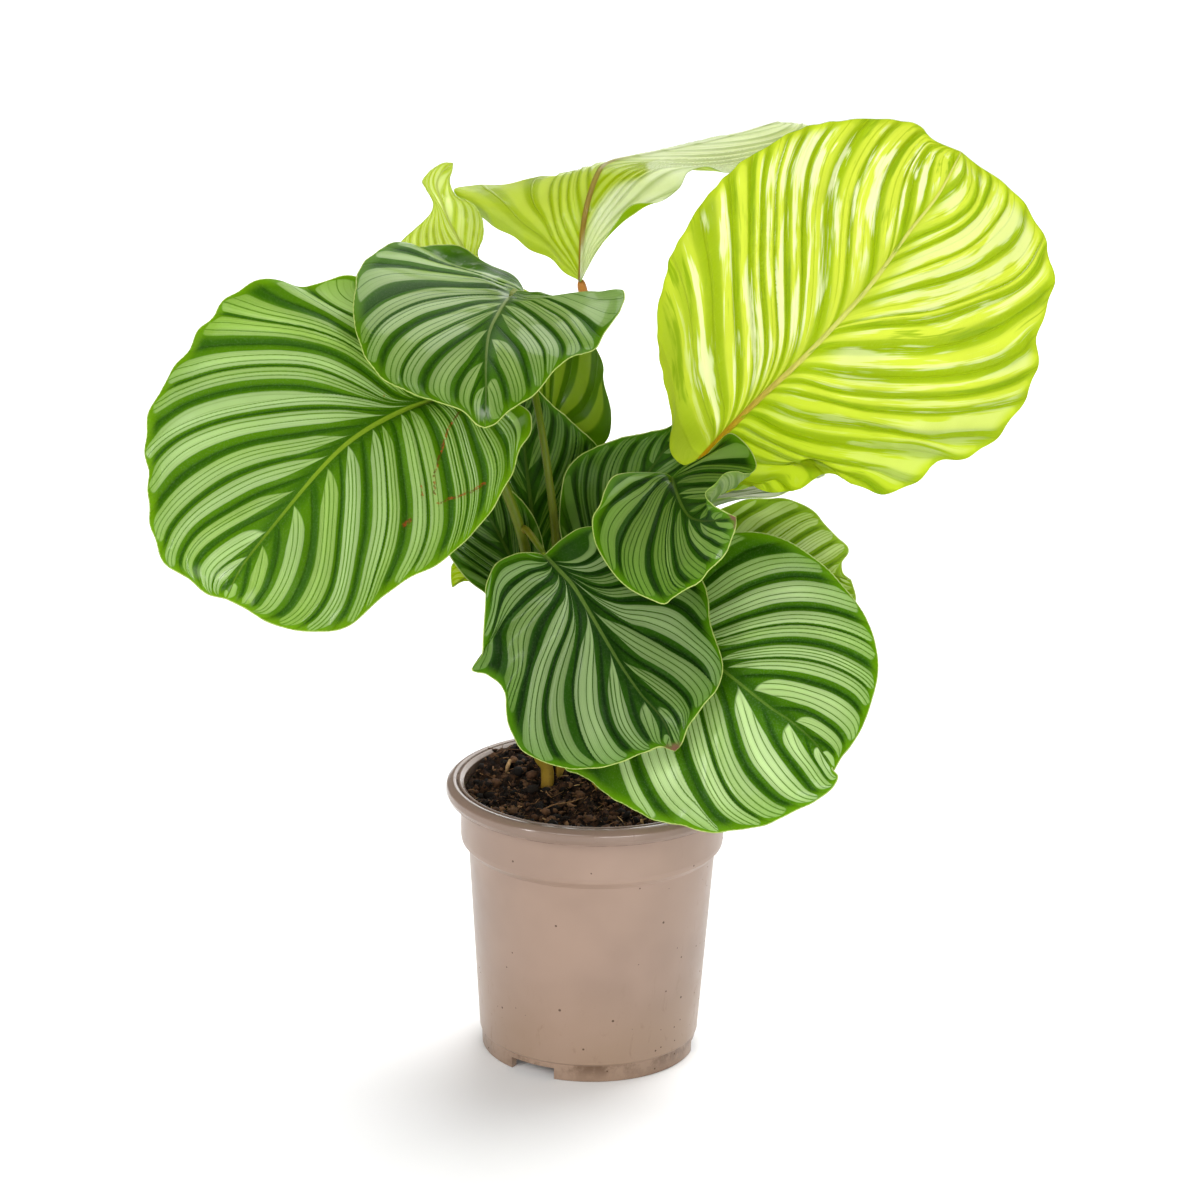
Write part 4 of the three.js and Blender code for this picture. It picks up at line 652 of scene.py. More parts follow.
    # brightness drifts slowly over the blade
    col = scale_color(g, col, g.line(slow, 0.3, 0.7, 0.90, 1.10))
    h = g.math('ADD', g.math('MULTIPLY', b['hair'], -0.6), g.math('MULTIPLY', cells, 0.8))
    h = g.math('ADD', h, g.math('MULTIPLY', b['fine'], -0.35))
    h = g.math('ADD', h, g.math('MULTIPLY', grain, 0.35))
    h = g.math('ADD', h, g.math('MULTIPLY', b['light'], 0.5))
    h = g.math('SUBTRACT', h, g.math('MULTIPLY', b['crease'], 1.2))
    normal = g.bump(h, 0.45, 0.0004 * depth)
    r = g.mixf(b['light'], rough - 0.03, rough + 0.04)
    r = g.math('ADD', r, g.math('MULTIPLY', g.math('SUBTRACT', cells, 0.5), 0.16))
    refl = g.shader(col, r, normal, Specular_IOR_Level=ior, Coat_Roughness=0.16)
    g.put(refl.node.inputs['Coat Weight'], g.math('MULTIPLY', g.math('ADD', 0.12, b['light']), coat))
    lit = g.mix(b['light'], glow[1], glow[0])
    lit = g.mix(g.math('MULTIPLY', b['hair'], 0.4), lit, glow[1])
    lit = g.mix(g.math('MULTIPLY', b['ribm'], 0.8), lit, lin(90, 90, 20))
    return g.finish(through(g, share, refl, lit, normal))


def leaf_under(name, pale, dark, margin, midrib, glow, share=0.30, rough=0.5, ior=0.3, coat=0.0, depth=1.0,
               rib_end=(0.05, 0.75), fold=None, soft=1.0, blend=0.5, gleam=None, near=None):
    g = Nodes(name)
    b = bands(g, start=-0.10, soft=soft)
    pos = b['pos']
    slow = g.noise(pos, 20.0, 3.0, 0.55)
    grain = g.noise(pos, 800.0, 2.0, 0.6)
    s = g.vec(g.math('MULTIPLY', b['hp'], 1.2), g.math('MULTIPLY', b['side'], 9.0), g.math('MULTIPLY', b['phase'], 1.3))
    cells = g.noise(s, 4.0, 3.0, 0.65)
    wide = g.step(b['ax'], 0.08, 0.42)
    k = g.mixf(blend, b['light'], wide)
    k = g.math('MULTIPLY', k, g.line(b['strand'], 0.0, 1.0, 0.72, 1.0))
    k = g.mixf(g.step(b['t'], -0.10, -0.02, 0.75, 0.0), k, slow)
    col = g.mix(k, dark, pale)
    col = g.mix(g.math('MULTIPLY', b['hair'], 0.45), col, dark)
    col = g.mix(g.math('MULTIPLY', b['fine'], 0.25), col, dark)
    col = g.mix(g.math('MULTIPLY', g.math('SUBTRACT', grain, 0.45), 0.5, clamp=True), col, pale)
    col = g.mix(g.step(b['edge'], 0.05, 0.5, 0.6, 0.0), col, margin)
    fade = g.step(b['run'], rib_end[0], rib_end[1])
    rib_col = g.mix(fade, midrib[0], midrib[1])
    ribk = g.step(b['rib'], 0.75, 1.15, 0.95, 0.0)
    if fold is not None:
        # past the fold line the midrib is hidden; the blade beyond is painted pale, near white, as painted sheen for
        # the turned-up other face, though the mesh does not fold there
        ribk = g.math('MULTIPLY', ribk, g.step(b['run'], fold['rib'][0], fold['rib'][1], 1.0, 0.0))
    col = g.mix(ribk, col, rib_col)
    drift = g.line(slow, 0.3, 0.7, 0.90, 1.08)
    lit = g.mix(k, glow[1], glow[0])
    lit = g.mix(g.math('MULTIPLY', b['hair'], 0.45), lit, glow[1])
    lit = g.mix(g.math('MULTIPLY', b['crease'], 0.5), lit, scale_color(g, glow[1], 0.6))
    lit = g.mix(g.math('MULTIPLY', g.step(cells, 0.45, 0.75), 0.25), lit, glow[0])
    lit = g.mix(g.math('MULTIPLY', ribk, 0.95), lit, g.mix(fade, glow[2], midrib[1]))
    if fold is not None:
        # painted sheen: the far part and a strip along the edge take the near-white turned-up colour
        far = g.step(g.math('ADD', b['run'], g.math('MULTIPLY', b['edge'], fold['slope'])), fold['at'][0], fold['at'][1])
        wide_ = g.math('SUBTRACT', b['edge'], g.math('MULTIPLY', g.math('ADD', b['run'], g.math('MULTIPLY', slow, 0.06)), fold['grow']))
        strip = g.math('MULTIPLY', g.step(wide_, fold['width'][0], fold['width'][1], 1.0, 0.0), g.step(b['phase'], 38.0, 39.0, 1.0, 0.0))
        far = g.math('MAXIMUM', far, strip)
        painted_turnup_sheen = g.mix(g.math('MULTIPLY', b['hair'], 0.45), fold['col'], fold['vein'])
        painted_turnup_sheen = g.mix(g.math('MULTIPLY', g.step(b['ax'], 0.04, 0.20, 1.0, 0.0), 0.55), painted_turnup_sheen, fold['vein'])
        painted_turnup_sheen = g.mix(g.step(slow, 0.52, 0.70, 0.0, 0.5), painted_turnup_sheen, fold['vein'])
        col = g.mix(far, col, painted_turnup_sheen)
        lit = g.mix(far, lit, g.mix(g.step(b['ax'], 0.04, 0.25, 0.6, 0.0), fold['lit'], fold['vein']))
    if near is not None:
        # painted shade: darker and greener near the stalk, where the blade lies in shade
        q = g.step(g.math('ADD', b['run'], g.math('MULTIPLY', slow, 0.05)), near[0], near[1], 1.0, 0.0)
        deep = g.mix(b['light'], near[3], near[2])
        deep = g.mix(g.math('MULTIPLY', b['hair'], 0.6), deep, near[3])
        col = g.mix(q, col, deep)
        lit = g.mix(q, lit, deep)
    shiny = None
    if gleam is not None:
        # painted highlights: almost white streaks along the pleats
        q = g.vec(g.math('MULTIPLY', b['phase'], 1.15), g.math('MULTIPLY', b['v'], 1.1), 0.0)
        n = g.noise(q, 1.5, 3.0, 0.62, 0.25)
        n2 = g.noise(g.vec(g.math('MULTIPLY', b['phase'], 9.0), g.math('MULTIPLY', b['v'], 2.5), 3.0), 2.0, 3.0, 0.6)
        n = g.math('ADD', n, g.math('MULTIPLY', g.math('SUBTRACT', n2, 0.5), 0.26))
        n = g.math('ADD', n, g.math('MULTIPLY', g.step(b['ax'], 0.15, 0.40), 0.07))
        shiny = g.step(n, 0.545, 0.625)
        shiny = g.math('MULTIPLY', shiny, g.step(b['phase'], 38.0, 39.0, gleam[0], gleam[1]))
        shiny = g.math('MULTIPLY', shiny, g.step(b['v'], 0.04, 0.16))
        shiny = g.math('MULTIPLY', shiny, g.step(b['edge'], 0.15, 0.8))
        lobe = g.math('ADD', b['t'], g.step(b['phase'], 38.0, 39.0, -0.10, 0.0))
        shiny = g.math('MULTIPLY', shiny, g.step(lobe, -0.11, -0.07))
        # duller towards the base, most of all on the lower half
        calm = g.step(g.math('ADD', b['t'], g.math('MULTIPLY', g.math('SUBTRACT', slow, 0.5), 0.2)), 0.02, 0.42, 1.0, 0.0)
        calm = g.math('MULTIPLY', calm, g.step(b['phase'], 38.0, 39.0, 1.0, 0.12))
        shiny = g.math('MULTIPLY', shiny, g.line(calm, 0.0, 1.0, 1.0, 0.10))
        plain = g.mix(k, lin(155, 182, 0), lin(192, 216, 24))
        plain = g.mix(g.math('MULTIPLY', b['hair'], 0.5), plain, lin(150, 176, 0))
        col = g.mix(g.math('MULTIPLY', calm, 0.75), col, plain)
        lit = g.mix(g.math('MULTIPLY', calm, 0.75), lit, plain)
        col = g.mix(ribk, col, rib_col)
        col = g.mix(shiny, col, gleam[2])
        lit = g.mix(shiny, lit, gleam[2])
        # painted shade: a deeper green where the streak noise is low
        low = g.step(n, 0.34, 0.44, 0.75, 0.0)
        col = g.mix(low, col, gleam[3])
        lit = g.mix(low, lit, gleam[3])
    col = scale_color(g, col, drift)
    h = g.math('ADD', g.math('MULTIPLY', b['hair'], 0.8), g.math('MULTIPLY', grain, 0.3))
    h = g.math('ADD', h, g.math('MULTIPLY', b['crease'], 1.5))
    h = g.math('ADD', h, g.math('MULTIPLY', wide, -1.0))
    h = g.math('ADD', h, g.math('MULTIPLY', cells, 0.5))
    normal = g.bump(h, 0.5, 0.0006 * depth)
    r = g.mixf(b['light'], rough - 0.05, rough + 0.04)
    refl = g.shader(col, r, normal, Specular_IOR_Level=ior, Coat_Roughness=0.14)
    if shiny is None:
        refl.node.inputs['Coat Weight'].default_value = coat
    else:
        g.put(refl.node.inputs['Coat Weight'], g.line(shiny, 0.0, 1.0, 0.05, coat))
    return g.finish(through(g, share, refl, lit, normal))


def leaf_rim(name, a, b_):
    g = Nodes(name)
    n = g.noise(g.where(), 160.0, 3.0, 0.6)
    col = g.mix(g.step(n, 0.35, 0.65), a, b_)
    return g.finish(g.shader(col, g.line(n, 0.3, 0.7, 0.42, 0.58), None))

# rows, columns a side; pleat depth; midrib half width at the joint (mm)
SHAPE = {
    'left_large': (290, 72, 1.20, 1.7), 'top_front': (220, 60, 0.95, 1.3),
    'right_tall': (280, 72, 1.45, 1.35), 'top_back': (170, 50, 1.1, 1.25),
    'back_left_curled': (130, 42, 1.0, 1.2), 'back_centre': (130, 42, 0.9, 1.4),
    'back_right': (130, 42, 0.9, 1.4), 'lower_left': (110, 36, 0.8, 1.2),
    'front_centre': (220, 60, 0.9, 1.2), 'front_small': (180, 52, 0.7, 1.0),
    'right_low': (230, 60, 1.1, 1.3), 'right_middle': (130, 42, 0.8, 1.2),
    'right_back': (90, 32, 0.8, 1.2), 'left_back_small': (90, 32, 0.8, 1.1),
}
THICK = 0.55


def spline(pts):
    """Centripetal Catmull-Rom curve through pts, as a function of the fraction of its length."""
    p = np.asarray(pts, float)
    p = np.vstack([2 * p[0] - p[1], p, 2 * p[-1] - p[-2]])
    out = []
    for i in range(1, len(p) - 2):
        p0, p1, p2, p3 = p[i - 1], p[i], p[i + 1], p[i + 2]
        t1 = math.sqrt(max(np.linalg.norm(p1 - p0), 1e-6))
        t2 = t1 + math.sqrt(max(np.linalg.norm(p2 - p1), 1e-6))
        t3 = t2 + math.sqrt(max(np.linalg.norm(p3 - p2), 1e-6))
        t = (t1 + (t2 - t1) * np.arange(24) / 24)[:, None]
        a1 = (t1 - t) / t1 * p0 + t / t1 * p1
        a2 = (t2 - t) / (t2 - t1) * p1 + (t - t1) / (t2 - t1) * p2
        a3 = (t3 - t) / (t3 - t2) * p2 + (t - t2) / (t3 - t2) * p3
        b1 = (t2 - t) / t2 * a1 + t / t2 * a2
        b2 = (t3 - t) / (t3 - t1) * a2 + (t - t1) / (t3 - t1) * a3
        out.append((t2 - t) / (t2 - t1) * b1 + (t - t1) / (t2 - t1) * b2)
    out = np.vstack(out + [p[-2][None]])
    run = np.concatenate([[0], np.cumsum(np.linalg.norm(np.diff(out, axis=0), axis=1))])
    length = run[-1]

    def f(w):
        w = np.asarray(w, float) * length
        return np.stack([np.interp(w, run, out[:, k]) for k in range(3)], -1)
    f.length = length
    return f


def net_weights(x, n):
    """Weights of n evenly spaced nodes for a smooth curve read at x (0 to n - 1)."""
    i = np.clip(np.floor(x).astype(int), 0, n - 2)
    f = x - i
    w = np.stack([-.5 * f ** 3 + f ** 2 - .5 * f, 1.5 * f ** 3 - 2.5 * f ** 2 + 1,
                  -1.5 * f ** 3 + 2 * f ** 2 + .5 * f, .5 * f ** 3 - .5 * f ** 2], -1)
    m = np.zeros((len(x), n + 2))
    r = np.arange(len(x))
    for k in range(4):
        m[r, i + k] += w[:, k]
    m[:, 1] += 2 * m[:, 0]
    m[:, 2] -= m[:, 0]
    m[:, n] += 2 * m[:, n + 1]
    m[:, n - 1] -= m[:, n + 1]
    return m[:, 1:-1]


def rising(x, xs, ys):
    """Smooth curve through (xs, ys) that never turns back."""
    h = np.diff(xs)
    d = np.diff(ys) / h
    m = np.zeros(len(xs))
    same = d[:-1] * d[1:] > 0
    w1, w2 = 2 * h[1:] + h[:-1], h[1:] + 2 * h[:-1]
    m[1:-1][same] = ((w1 + w2) / (w1 / np.where(d[:-1] == 0, 1, d[:-1]) + w2 / np.where(d[1:] == 0, 1, d[1:])))[same]
    m[0], m[-1] = d[0], d[-1]
    i = np.clip(np.searchsorted(xs, x) - 1, 0, len(h) - 1)
    t = np.clip((x - xs[i]) / h[i], 0, 1)
    hi = h[i]
    return (ys[i] * (1 + 2 * t) * (1 - t) ** 2 + ys[i + 1] * t * t * (3 - 2 * t)
            + hi * (m[i] * t * (1 - t) ** 2 - m[i + 1] * t * t * (1 - t)))


def vein_maps(name, s, U, V):
    """At each (u, v): the place among the pale patches (a whole number in the middle
    of each dark gap, .25 and .75 at the patch's limits), the place among the hairline
    veins (whole on each), the vein's t, and how strongly the blade folds there."""
    a0, a1, p0, p1 = VEINS[name][s]
    a1 = min(a1, 1 - a0)
    ts = np.linspace(0, 0.995, 500)
    T = np.empty(U.shape)
    for j in range(U.shape[1]):
        v = max(float(V[0, j]), 1e-4)
        rise = np.maximum.accumulate(ts + (1 - ts) * (a0 + a1 * ts) * v ** (p0 + p1 * ts))
        start = a0 * v ** p0
        T[:, j] = np.where(U[:, j] < start, -LOBE * (1 - U[:, j] / start), np.interp(U[:, j], rise, ts))
    if name in WAVE and WAVE[name][s] is not None:
        W = np.array(WAVE[name][s]) / 1000.0
        A = net_weights((T.ravel() + LOBE) / (1 + LOBE) * (len(W) - 1), len(W))
        B = net_weights(V.ravel() * (W.shape[1] - 1), W.shape[1])
        T = T + ((A @ W) * B).sum(1).reshape(T.shape)
    phase, hair, fold = np.empty(U.shape), np.empty(U.shape), np.empty(U.shape)
    for j in range(U.shape[1]):
        v = float(V[0, j])
        low, high = (max(0.0, 0.45 - v) / 0.45) ** 1.3, (max(0.0, v - 0.55) / 0.45) ** 1.3
        rows = []
        for row in PALE[name][s]:
            a, b, hs = row[:3]
            if len(row) > 3:
                a, b = a + low * row[3][0] + high * row[3][1], b + low * row[4][0] + high * row[4][1]
                hs = [h + low * q[0] + high * q[1] for h, q in zip(hs, row[5])]
            rows.append((a, b, hs))
        xs, ys, fs = [rows[0][0] - 0.03], [0.0], [0.3]
        hx, hy, k = [rows[0][0] - 0.03], [0.5], 0.5
        for i, (a, b, hs) in enumerate(rows):
            a = max(a, xs[-1] + 0.001)
            b = max(b, a + 0.004)
            nxt = rows[i + 1][0] if i + 1 < len(rows) else b + 0.05
            nxt = max(nxt, b + 0.002)
            xs += [a, b, (b + nxt) / 2]
            ys += [i + 0.25, i + 0.75, i + 1.0]
            fs += [0.4, 0.4, min(1.0, 0.45 + (nxt - b) / 0.06)]
            hx.append(a)
            hy.append(k)
            for h in hs:
                k += 1
                hx.append(min(max(h, hx[-1] + 0.003), b + 0.02))
                hy.append(k - 0.5)
            hx.append(max(b, hx[-1] + 0.003))
            hy.append(k)
        xs, ys = np.array(xs), np.array(ys)
        t = T[:, j]
        phase[:, j] = rising(t, xs, ys) + np.maximum(t - xs[-1], 0) * 6
        hair[:, j] = np.interp(t, hx, hy)
        fold[:, j] = np.interp(t, xs, fs)
    return phase, hair, T, fold


def distance_to(points, curve):
    """Distance from each point to a dense polyline's points."""
    out = np.full(len(points), 1e9)
    for i in range(0, len(curve), 64):
        d = np.linalg.norm(points[:, None, :] - curve[None, i:i + 64, :], axis=2).min(1)
        out = np.minimum(out, d)
    return out


def spread(P, h):
    """Millimetres of surface for one unit of h, at each point of the grid."""
    pu, pv = np.gradient(P, axis=0), np.gradient(P, axis=1)
    hu, hv = np.gradient(h, axis=0), np.gradient(h, axis=1)
    e, f, g = (pu * pu).sum(-1), (pu * pv).sum(-1), (pv * pv).sum(-1)
    grad = (g * hu * hu - 2 * f * hu * hv + e * hv * hv) / np.maximum(e * g - f * f, 1e-9)
    return np.clip(1 / np.sqrt(np.maximum(grad, 1e-9)), 0.3, 40.0)


def smooth(x, lo, hi):
    t = np.clip((x - lo) / (hi - lo), 0, 1)
    return t * t * (3 - 2 * t)


CRINKLE = {'left_large': 0.62, 'top_front': 0.30, 'right_tall': 0.38, 'front_centre': 0.26, 'right_low': 0.26,
           'right_middle': 0.30}


def crinkle(name, s, flat, edge, E):
    """Shifts that give the blade's outline small, irregular scallops."""
    size = CRINKLE.get(name)
    if size is None:
        return np.zeros_like(flat)
    at = np.linspace(0, 1, 700)
    C = E(at)
    T = np.gradient(C, axis=0)
    T /= np.maximum(np.linalg.norm(T, axis=1), 1e-9)[:, None]
    out = C - C.mean(0)
    out -= (out * T).sum(1)[:, None] * T
    out /= np.maximum(np.linalg.norm(out, axis=1), 1e-9)[:, None]
    arc = np.concatenate([[0], np.cumsum(np.linalg.norm(np.diff(C, axis=0), axis=1))])
    rnd = random.Random(sum(ord(ch) for ch in name) + 7 * s)
    shape = np.zeros(len(at))
    for _ in range(5):
        shape += rnd.uniform(0.3, 0.6) * np.sin(2 * math.pi * arc / rnd.uniform(12, 38) + rnd.uniform(0, 6.28))
    shape *= size * smooth(at, 0.03, 0.12) * (1 - smooth(at, 0.88, 0.97))
    shift = np.zeros_like(flat)
    close = np.nonzero(edge.ravel() < 11)[0]
    for part in np.array_split(close, max(1, len(close) // 2000)):
        d = ((flat[part][:, None] - C[None]) ** 2).sum(2)
        k = d.argmin(1)
        shift[part] = out[k] * shape[k][:, None]
    return shift * (1 - smooth(edge.ravel(), 0, 11))[:, None]


def leaf_net(name):
    """Grid of surface points and its vein coordinates, both sides of the midrib."""
    leaf = LEAVES[name]
    rows, cols, depth, rib = SHAPE[name]
    mid = np.array(leaf['mid'], float)
    joint, tip = mid[0], mid[-1]
    M = spline(mid)
    u = (np.arange(rows) / rows) ** 0.97
    v = (np.arange(cols + 1) / cols) ** 1.22
    U, V = np.meshgrid(u, v, indexing='ij')
    net = {}
    for s, key in enumerate(('left', 'right')):
        w0 = leaf['w0'][s]
        E = spline(np.vstack([joint, np.array(leaf[key], float), tip]))
        V3, U3 = V[..., None], U[..., None]
        base = E(w0 * v)[None] - ((1 - V3) * joint + V3 * E(w0))
        P = (1 - V3) * M(u)[:, None] + V3 * E(w0 + (1 - w0) * u)[:, None] + (1 - U3) ** 1.5 * base
        phase, hair, T, fold = vein_maps(name, s, U, V)
        flat = P.reshape(-1, 3)
        edge = distance_to(flat, E(np.linspace(0.0, 1, 500))).reshape(U.shape)
        ribd = distance_to(flat, M(np.linspace(0, 1, 400))).reshape(U.shape)
        far = spread(P, hair)
        P = P + crinkle(name, s, flat, edge, E).reshape(P.shape)
        net[key] = (P, phase, edge, ribd, hair, T, fold, far)
    return dict(U=U, V=V, u=u, v=v, rows=rows, cols=cols, depth=depth, rib=rib,
                tip=tip, joint=joint, M=M, net=net)


def pleat(phase, fold):
    """Height of the folded blade between about -1 and 1: lowest in the dark gaps."""
    x = phase - np.floor(phase)
    return -(0.90 * np.cos(2 * np.pi * x) + 0.16 * np.sin(2 * np.pi * x) + 0.14 * np.cos(4 * np.pi * x)) * fold


def leaf_object(name, materials):
    L = leaf_net(name)
    rows, cols = L['rows'], L['cols']
    Pl, fl, el, ml, hl, tl, dl, wl = L['net']['left']
    Pr, fr, er, mr, hr, tr, dr, wr = L['net']['right']
    width = 2 * cols + 1
    P = np.concatenate([Pl[:, ::-1], Pr[:, 1:]], axis=1)          # rows x width
    V = np.concatenate([-L['V'][:, ::-1], L['V'][:, 1:]], axis=1)
    U = np.concatenate([L['U'][:, ::-1], L['U'][:, 1:]], axis=1)
    edge = np.concatenate([el[:, ::-1], er[:, 1:]], axis=1)
    ribd = np.concatenate([ml[:, ::-1], mr[:, 1:]], axis=1)
    pts = np.vstack([P.reshape(-1, 3), L['tip'][None]])
    tip = len(pts) - 1

    # faces of the middle surface, with the upper face's winding
    quads, tris = [], []
    idx = np.arange(rows * width).reshape(rows, width)
    a, b = idx[:-1, :-1].ravel(), idx[:-1, 1:].ravel()
    c, d = idx[1:, :-1].ravel(), idx[1:, 1:].ravel()
    # each quad is split along the run of the veins
    quads = np.stack([a, b, d, c], 1)
    quads = np.where(((a % width) < cols)[:, None], np.roll(quads, -1, axis=1), quads)
    last = idx[-1]
    tris = np.stack([last[:-1], last[1:], np.full(width - 1, tip)], 1)

    def normals_of(p):
        n = np.zeros_like(p)
        q = np.cross(p[quads[:, 2]] - p[quads[:, 0]], p[quads[:, 3]] - p[quads[:, 1]])
        for k in range(4):
            np.add.at(n, quads[:, k], q)
        t = np.cross(p[tris[:, 1]] - p[tris[:, 0]], p[tris[:, 2]] - p[tris[:, 0]])
        for k in range(3):
            np.add.at(n, tris[:, k], t)
        return n / np.maximum(np.linalg.norm(n, axis=1), 1e-12)[:, None]

    N = normals_of(pts)
    half = np.concatenate([np.abs(V).ravel(), [0]])
    ug = np.concatenate([U.ravel(), [1]])
    eg = np.concatenate([edge.ravel(), [0]])
    mg = np.concatenate([ribd.ravel(), [0]])
    # at the midrib both sides' phases differ, so the fold fades out there
    ph = np.concatenate([np.concatenate([fl[:, ::-1], fr[:, 1:]], axis=1).ravel(), [0]])
    fd = np.concatenate([np.concatenate([dl[:, ::-1], dr[:, 1:]], axis=1).ravel(), [0]])
    size = max(edge.max(), 20.0)
    fade = smooth(mg, 1.0, 0.30 * size) * (0.45 + 0.55 * smooth(eg, 0, 9)) * (1 - smooth(ug, 0.90, 1.0))
    lift = L['depth'] * pleat(ph, fd) * fade
    # slow, irregular waves of the whole blade
    seed = sum(ord(ch) for ch in name)
    rnd = random.Random(seed)
    wave, ripple = np.zeros(len(pts)), np.zeros(len(pts))
    for _ in range(5):
        k = np.array([rnd.uniform(-1, 1) for _ in range(3)])
        k *= 2 * math.pi / rnd.uniform(45, 90) / np.linalg.norm(k)
        wave += 0.40 * np.sin(pts @ k + rnd.uniform(0, 6.28))
        ripple += 0.30 * np.sin(2.6 * (pts @ k) + rnd.uniform(0, 6.28))
    wave *= smooth(mg, 2, 18) * smooth(eg, 0, 14)
    wave += ripple * smooth(mg, 2, 12) * (1 - smooth(eg, 1, 13))
    tt = np.concatenate([np.concatenate([tl[:, ::-1], tr[:, 1:]], axis=1).ravel(), [0.9]])
    if name in ('right_tall', 'top_back'):
        lift *= smooth(tt, -0.10, 0.03)
    # midrib: sunk above, a round rib below
    rad = L['rib'] * (1 - ug) ** 0.8 + 0.35
    groove = np.where(mg < 2.2 * rad, 0.5 * rad * (1 + np.cos(np.pi * mg / (2.2 * rad))) * 0.5, 0)
    ridge = np.sqrt(np.maximum(rad ** 2 - mg ** 2, 0)) * 0.95
    sheet = pts + N * (lift + wave - 0.35 * groove)[:, None]
    N2 = normals_of(sheet)
    # veins stand slightly proud below
    x = ph - np.round(ph)
    vein = 0.10 * np.exp(-(x / 0.05) ** 2) * fade
    thin = THICK * (0.55 + 0.45 * smooth(eg, 0, 5))
    top = sheet + N2 * (thin / 2)[:, None]
    bottom = sheet - N2 * (thin / 2 + ridge + vein)[:, None]
    # rim: a bead a little outside the edge
    loop = list(idx[0]) + list(idx[1:, -1]) + [tip] + list(idx[1:, 0][::-1])
    loop = np.array(loop)
    nxt, prv = np.roll(loop, -1), np.roll(loop, 1)
    along = sheet[nxt] - sheet[prv]
    out = np.cross(along, N2[loop])
    out /= np.maximum(np.linalg.norm(out, axis=1), 1e-9)[:, None]
    bead = sheet[loop] + out * (0.42 * THICK)
    n = len(pts)
    verts = np.vstack([top, bottom, bead]) * MM
    faces = []
    faces += quads.tolist()
    faces += tris.tolist()
    nt = len(faces)
    faces += (quads[:, [0, 3, 2, 1]] + n).tolist()
    faces += (tris[:, ::-1] + n).tolist()
    nb = len(faces)
    m = len(loop)
    for k in range(m):
        k2 = (k + 1) % m
        faces.append([int(loop[k2]), int(loop[k]), 2 * n + k, 2 * n + k2])
        faces.append([2 * n + k2, 2 * n + k, int(loop[k]) + n, int(loop[k2]) + n])
    me = bpy.data.meshes.new('leaf_' + name)
    me.from_pydata(verts.tolist(), [], faces)
    me.update()

    # UV maps
    loops_v = np.zeros(len(me.loops), np.int64)
    me.loops.foreach_get('vertex_index', loops_v)
    starts = np.zeros(len(me.polygons), np.int64)
    totals = np.zeros(len(me.polygons), np.int64)
    me.polygons.foreach_get('loop_start', starts)
    me.polygons.foreach_get('loop_total', totals)
    poly_of = np.repeat(np.arange(len(me.polygons)), totals)
    base = loops_v.copy()
    base = np.where(base >= 2 * n, loop[np.clip(base - 2 * n, 0, m - 1)], base % n)
    # side of the midrib for each face: from the mean of |signed v|
    sv = np.concatenate([V.ravel(), [0]])
    mean = np.bincount(poly_of, weights=sv[base]) / totals
    left_face = mean[poly_of] < 0

    def by_side(left, right, shift):
        """Values of the face's own side, also on the midrib and at the tip."""
        pl = np.concatenate([np.concatenate([left[:, ::-1], np.repeat(left[:, :1], cols, 1)], axis=1).ravel(), [left[-1].mean()]])
        pr = np.concatenate([np.concatenate([np.repeat(right[:, :1], cols, 1), right], axis=1).ravel(), [right[-1].mean()]])
        return np.where(left_face, pl[base], pr[base] + shift)

    phase, hair, time = by_side(fl, fr, 40.0), by_side(hl, hr, 120.0), by_side(tl, tr, 0.0)
    apart = by_side(wl, wr, 0.0)

    def put(uvname, a, b):
        layer = me.uv_layers.new(name=uvname, do_init=False)
        layer.data.foreach_set('uv', np.stack([a, b], 1).astype(np.float32).ravel())

    j = np.concatenate([np.tile(np.arange(width), rows), [cols]]).astype(float)
    i = np.concatenate([np.repeat(np.arange(rows), width), [rows]]).astype(float)
    uvx = 0.004 + 0.488 * (0.5 + 0.5 * np.sign(V) * np.abs(V) ** 0.95)
    uvx = np.concatenate([uvx.ravel(), [0.248]])
    uvy = 0.004 + 0.992 * ug
    is_bottom = (poly_of >= nt) & (poly_of < nb)
    is_rim = poly_of >= nb
    bx = uvx[base] + np.where(is_bottom, 0.504, 0)
    by = uvy[base]
    # the rim: a thin column of its own, running along the loop
    ring = np.arange(m) / m
    pos = np.full(n, 0.0)
    pos[loop] = ring
    rx = np.where(loops_v >= 2 * n, 0.4995, np.where(loops_v >= n, 0.5015, 0.4975))
    ry = 0.004 + 0.992 * np.where(loops_v >= 2 * n, np.clip(loops_v - 2 * n, 0, m - 1) / m, pos[base])
    wrap = is_rim & ((poly_of - nb) // 2 == m - 1)
    ry = np.where(wrap & (ry < 0.01), 0.997, ry)
    bx, by = np.where(is_rim, rx, bx), np.where(is_rim, ry, by)
    put('OFBake', bx, by)
    put('Vein', phase, half[base])
    put('Dist', (eg / 10.0)[base], (mg / np.maximum(rad, 0.2))[base])
    put('Run', ug[base], (mg / 10.0)[base])
    put('Hair', hair, time)
    put('Grid', apart, time)
    me.uv_layers['OFBake'].active_render = True
    for k, mat in enumerate(materials):
        me.materials.append(mat)
    mats = np.zeros(len(me.polygons), np.int32)
    mats[nt:nb] = 1
    mats[nb:] = 2
    me.polygons.foreach_set('material_index', mats)
    me.polygons.foreach_set('use_smooth', np.ones(len(me.polygons), bool))
    me.update()
    ob = bpy.data.objects.new('blade_' + name, me)
    scene.collection.objects.link(ob)
    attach(ob, 'root')
    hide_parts('leaf_' + name)
    return ob

# ------------------------------------------------------------------ the finishes
UNDER_RIB = (lin(150, 165, 80), lin(185, 205, 120))
RIM_PALE = leaf_rim('leaf_rim', lin(176, 196, 96), lin(132, 168, 44))
BROWN_TIP = lin(120, 84, 66)

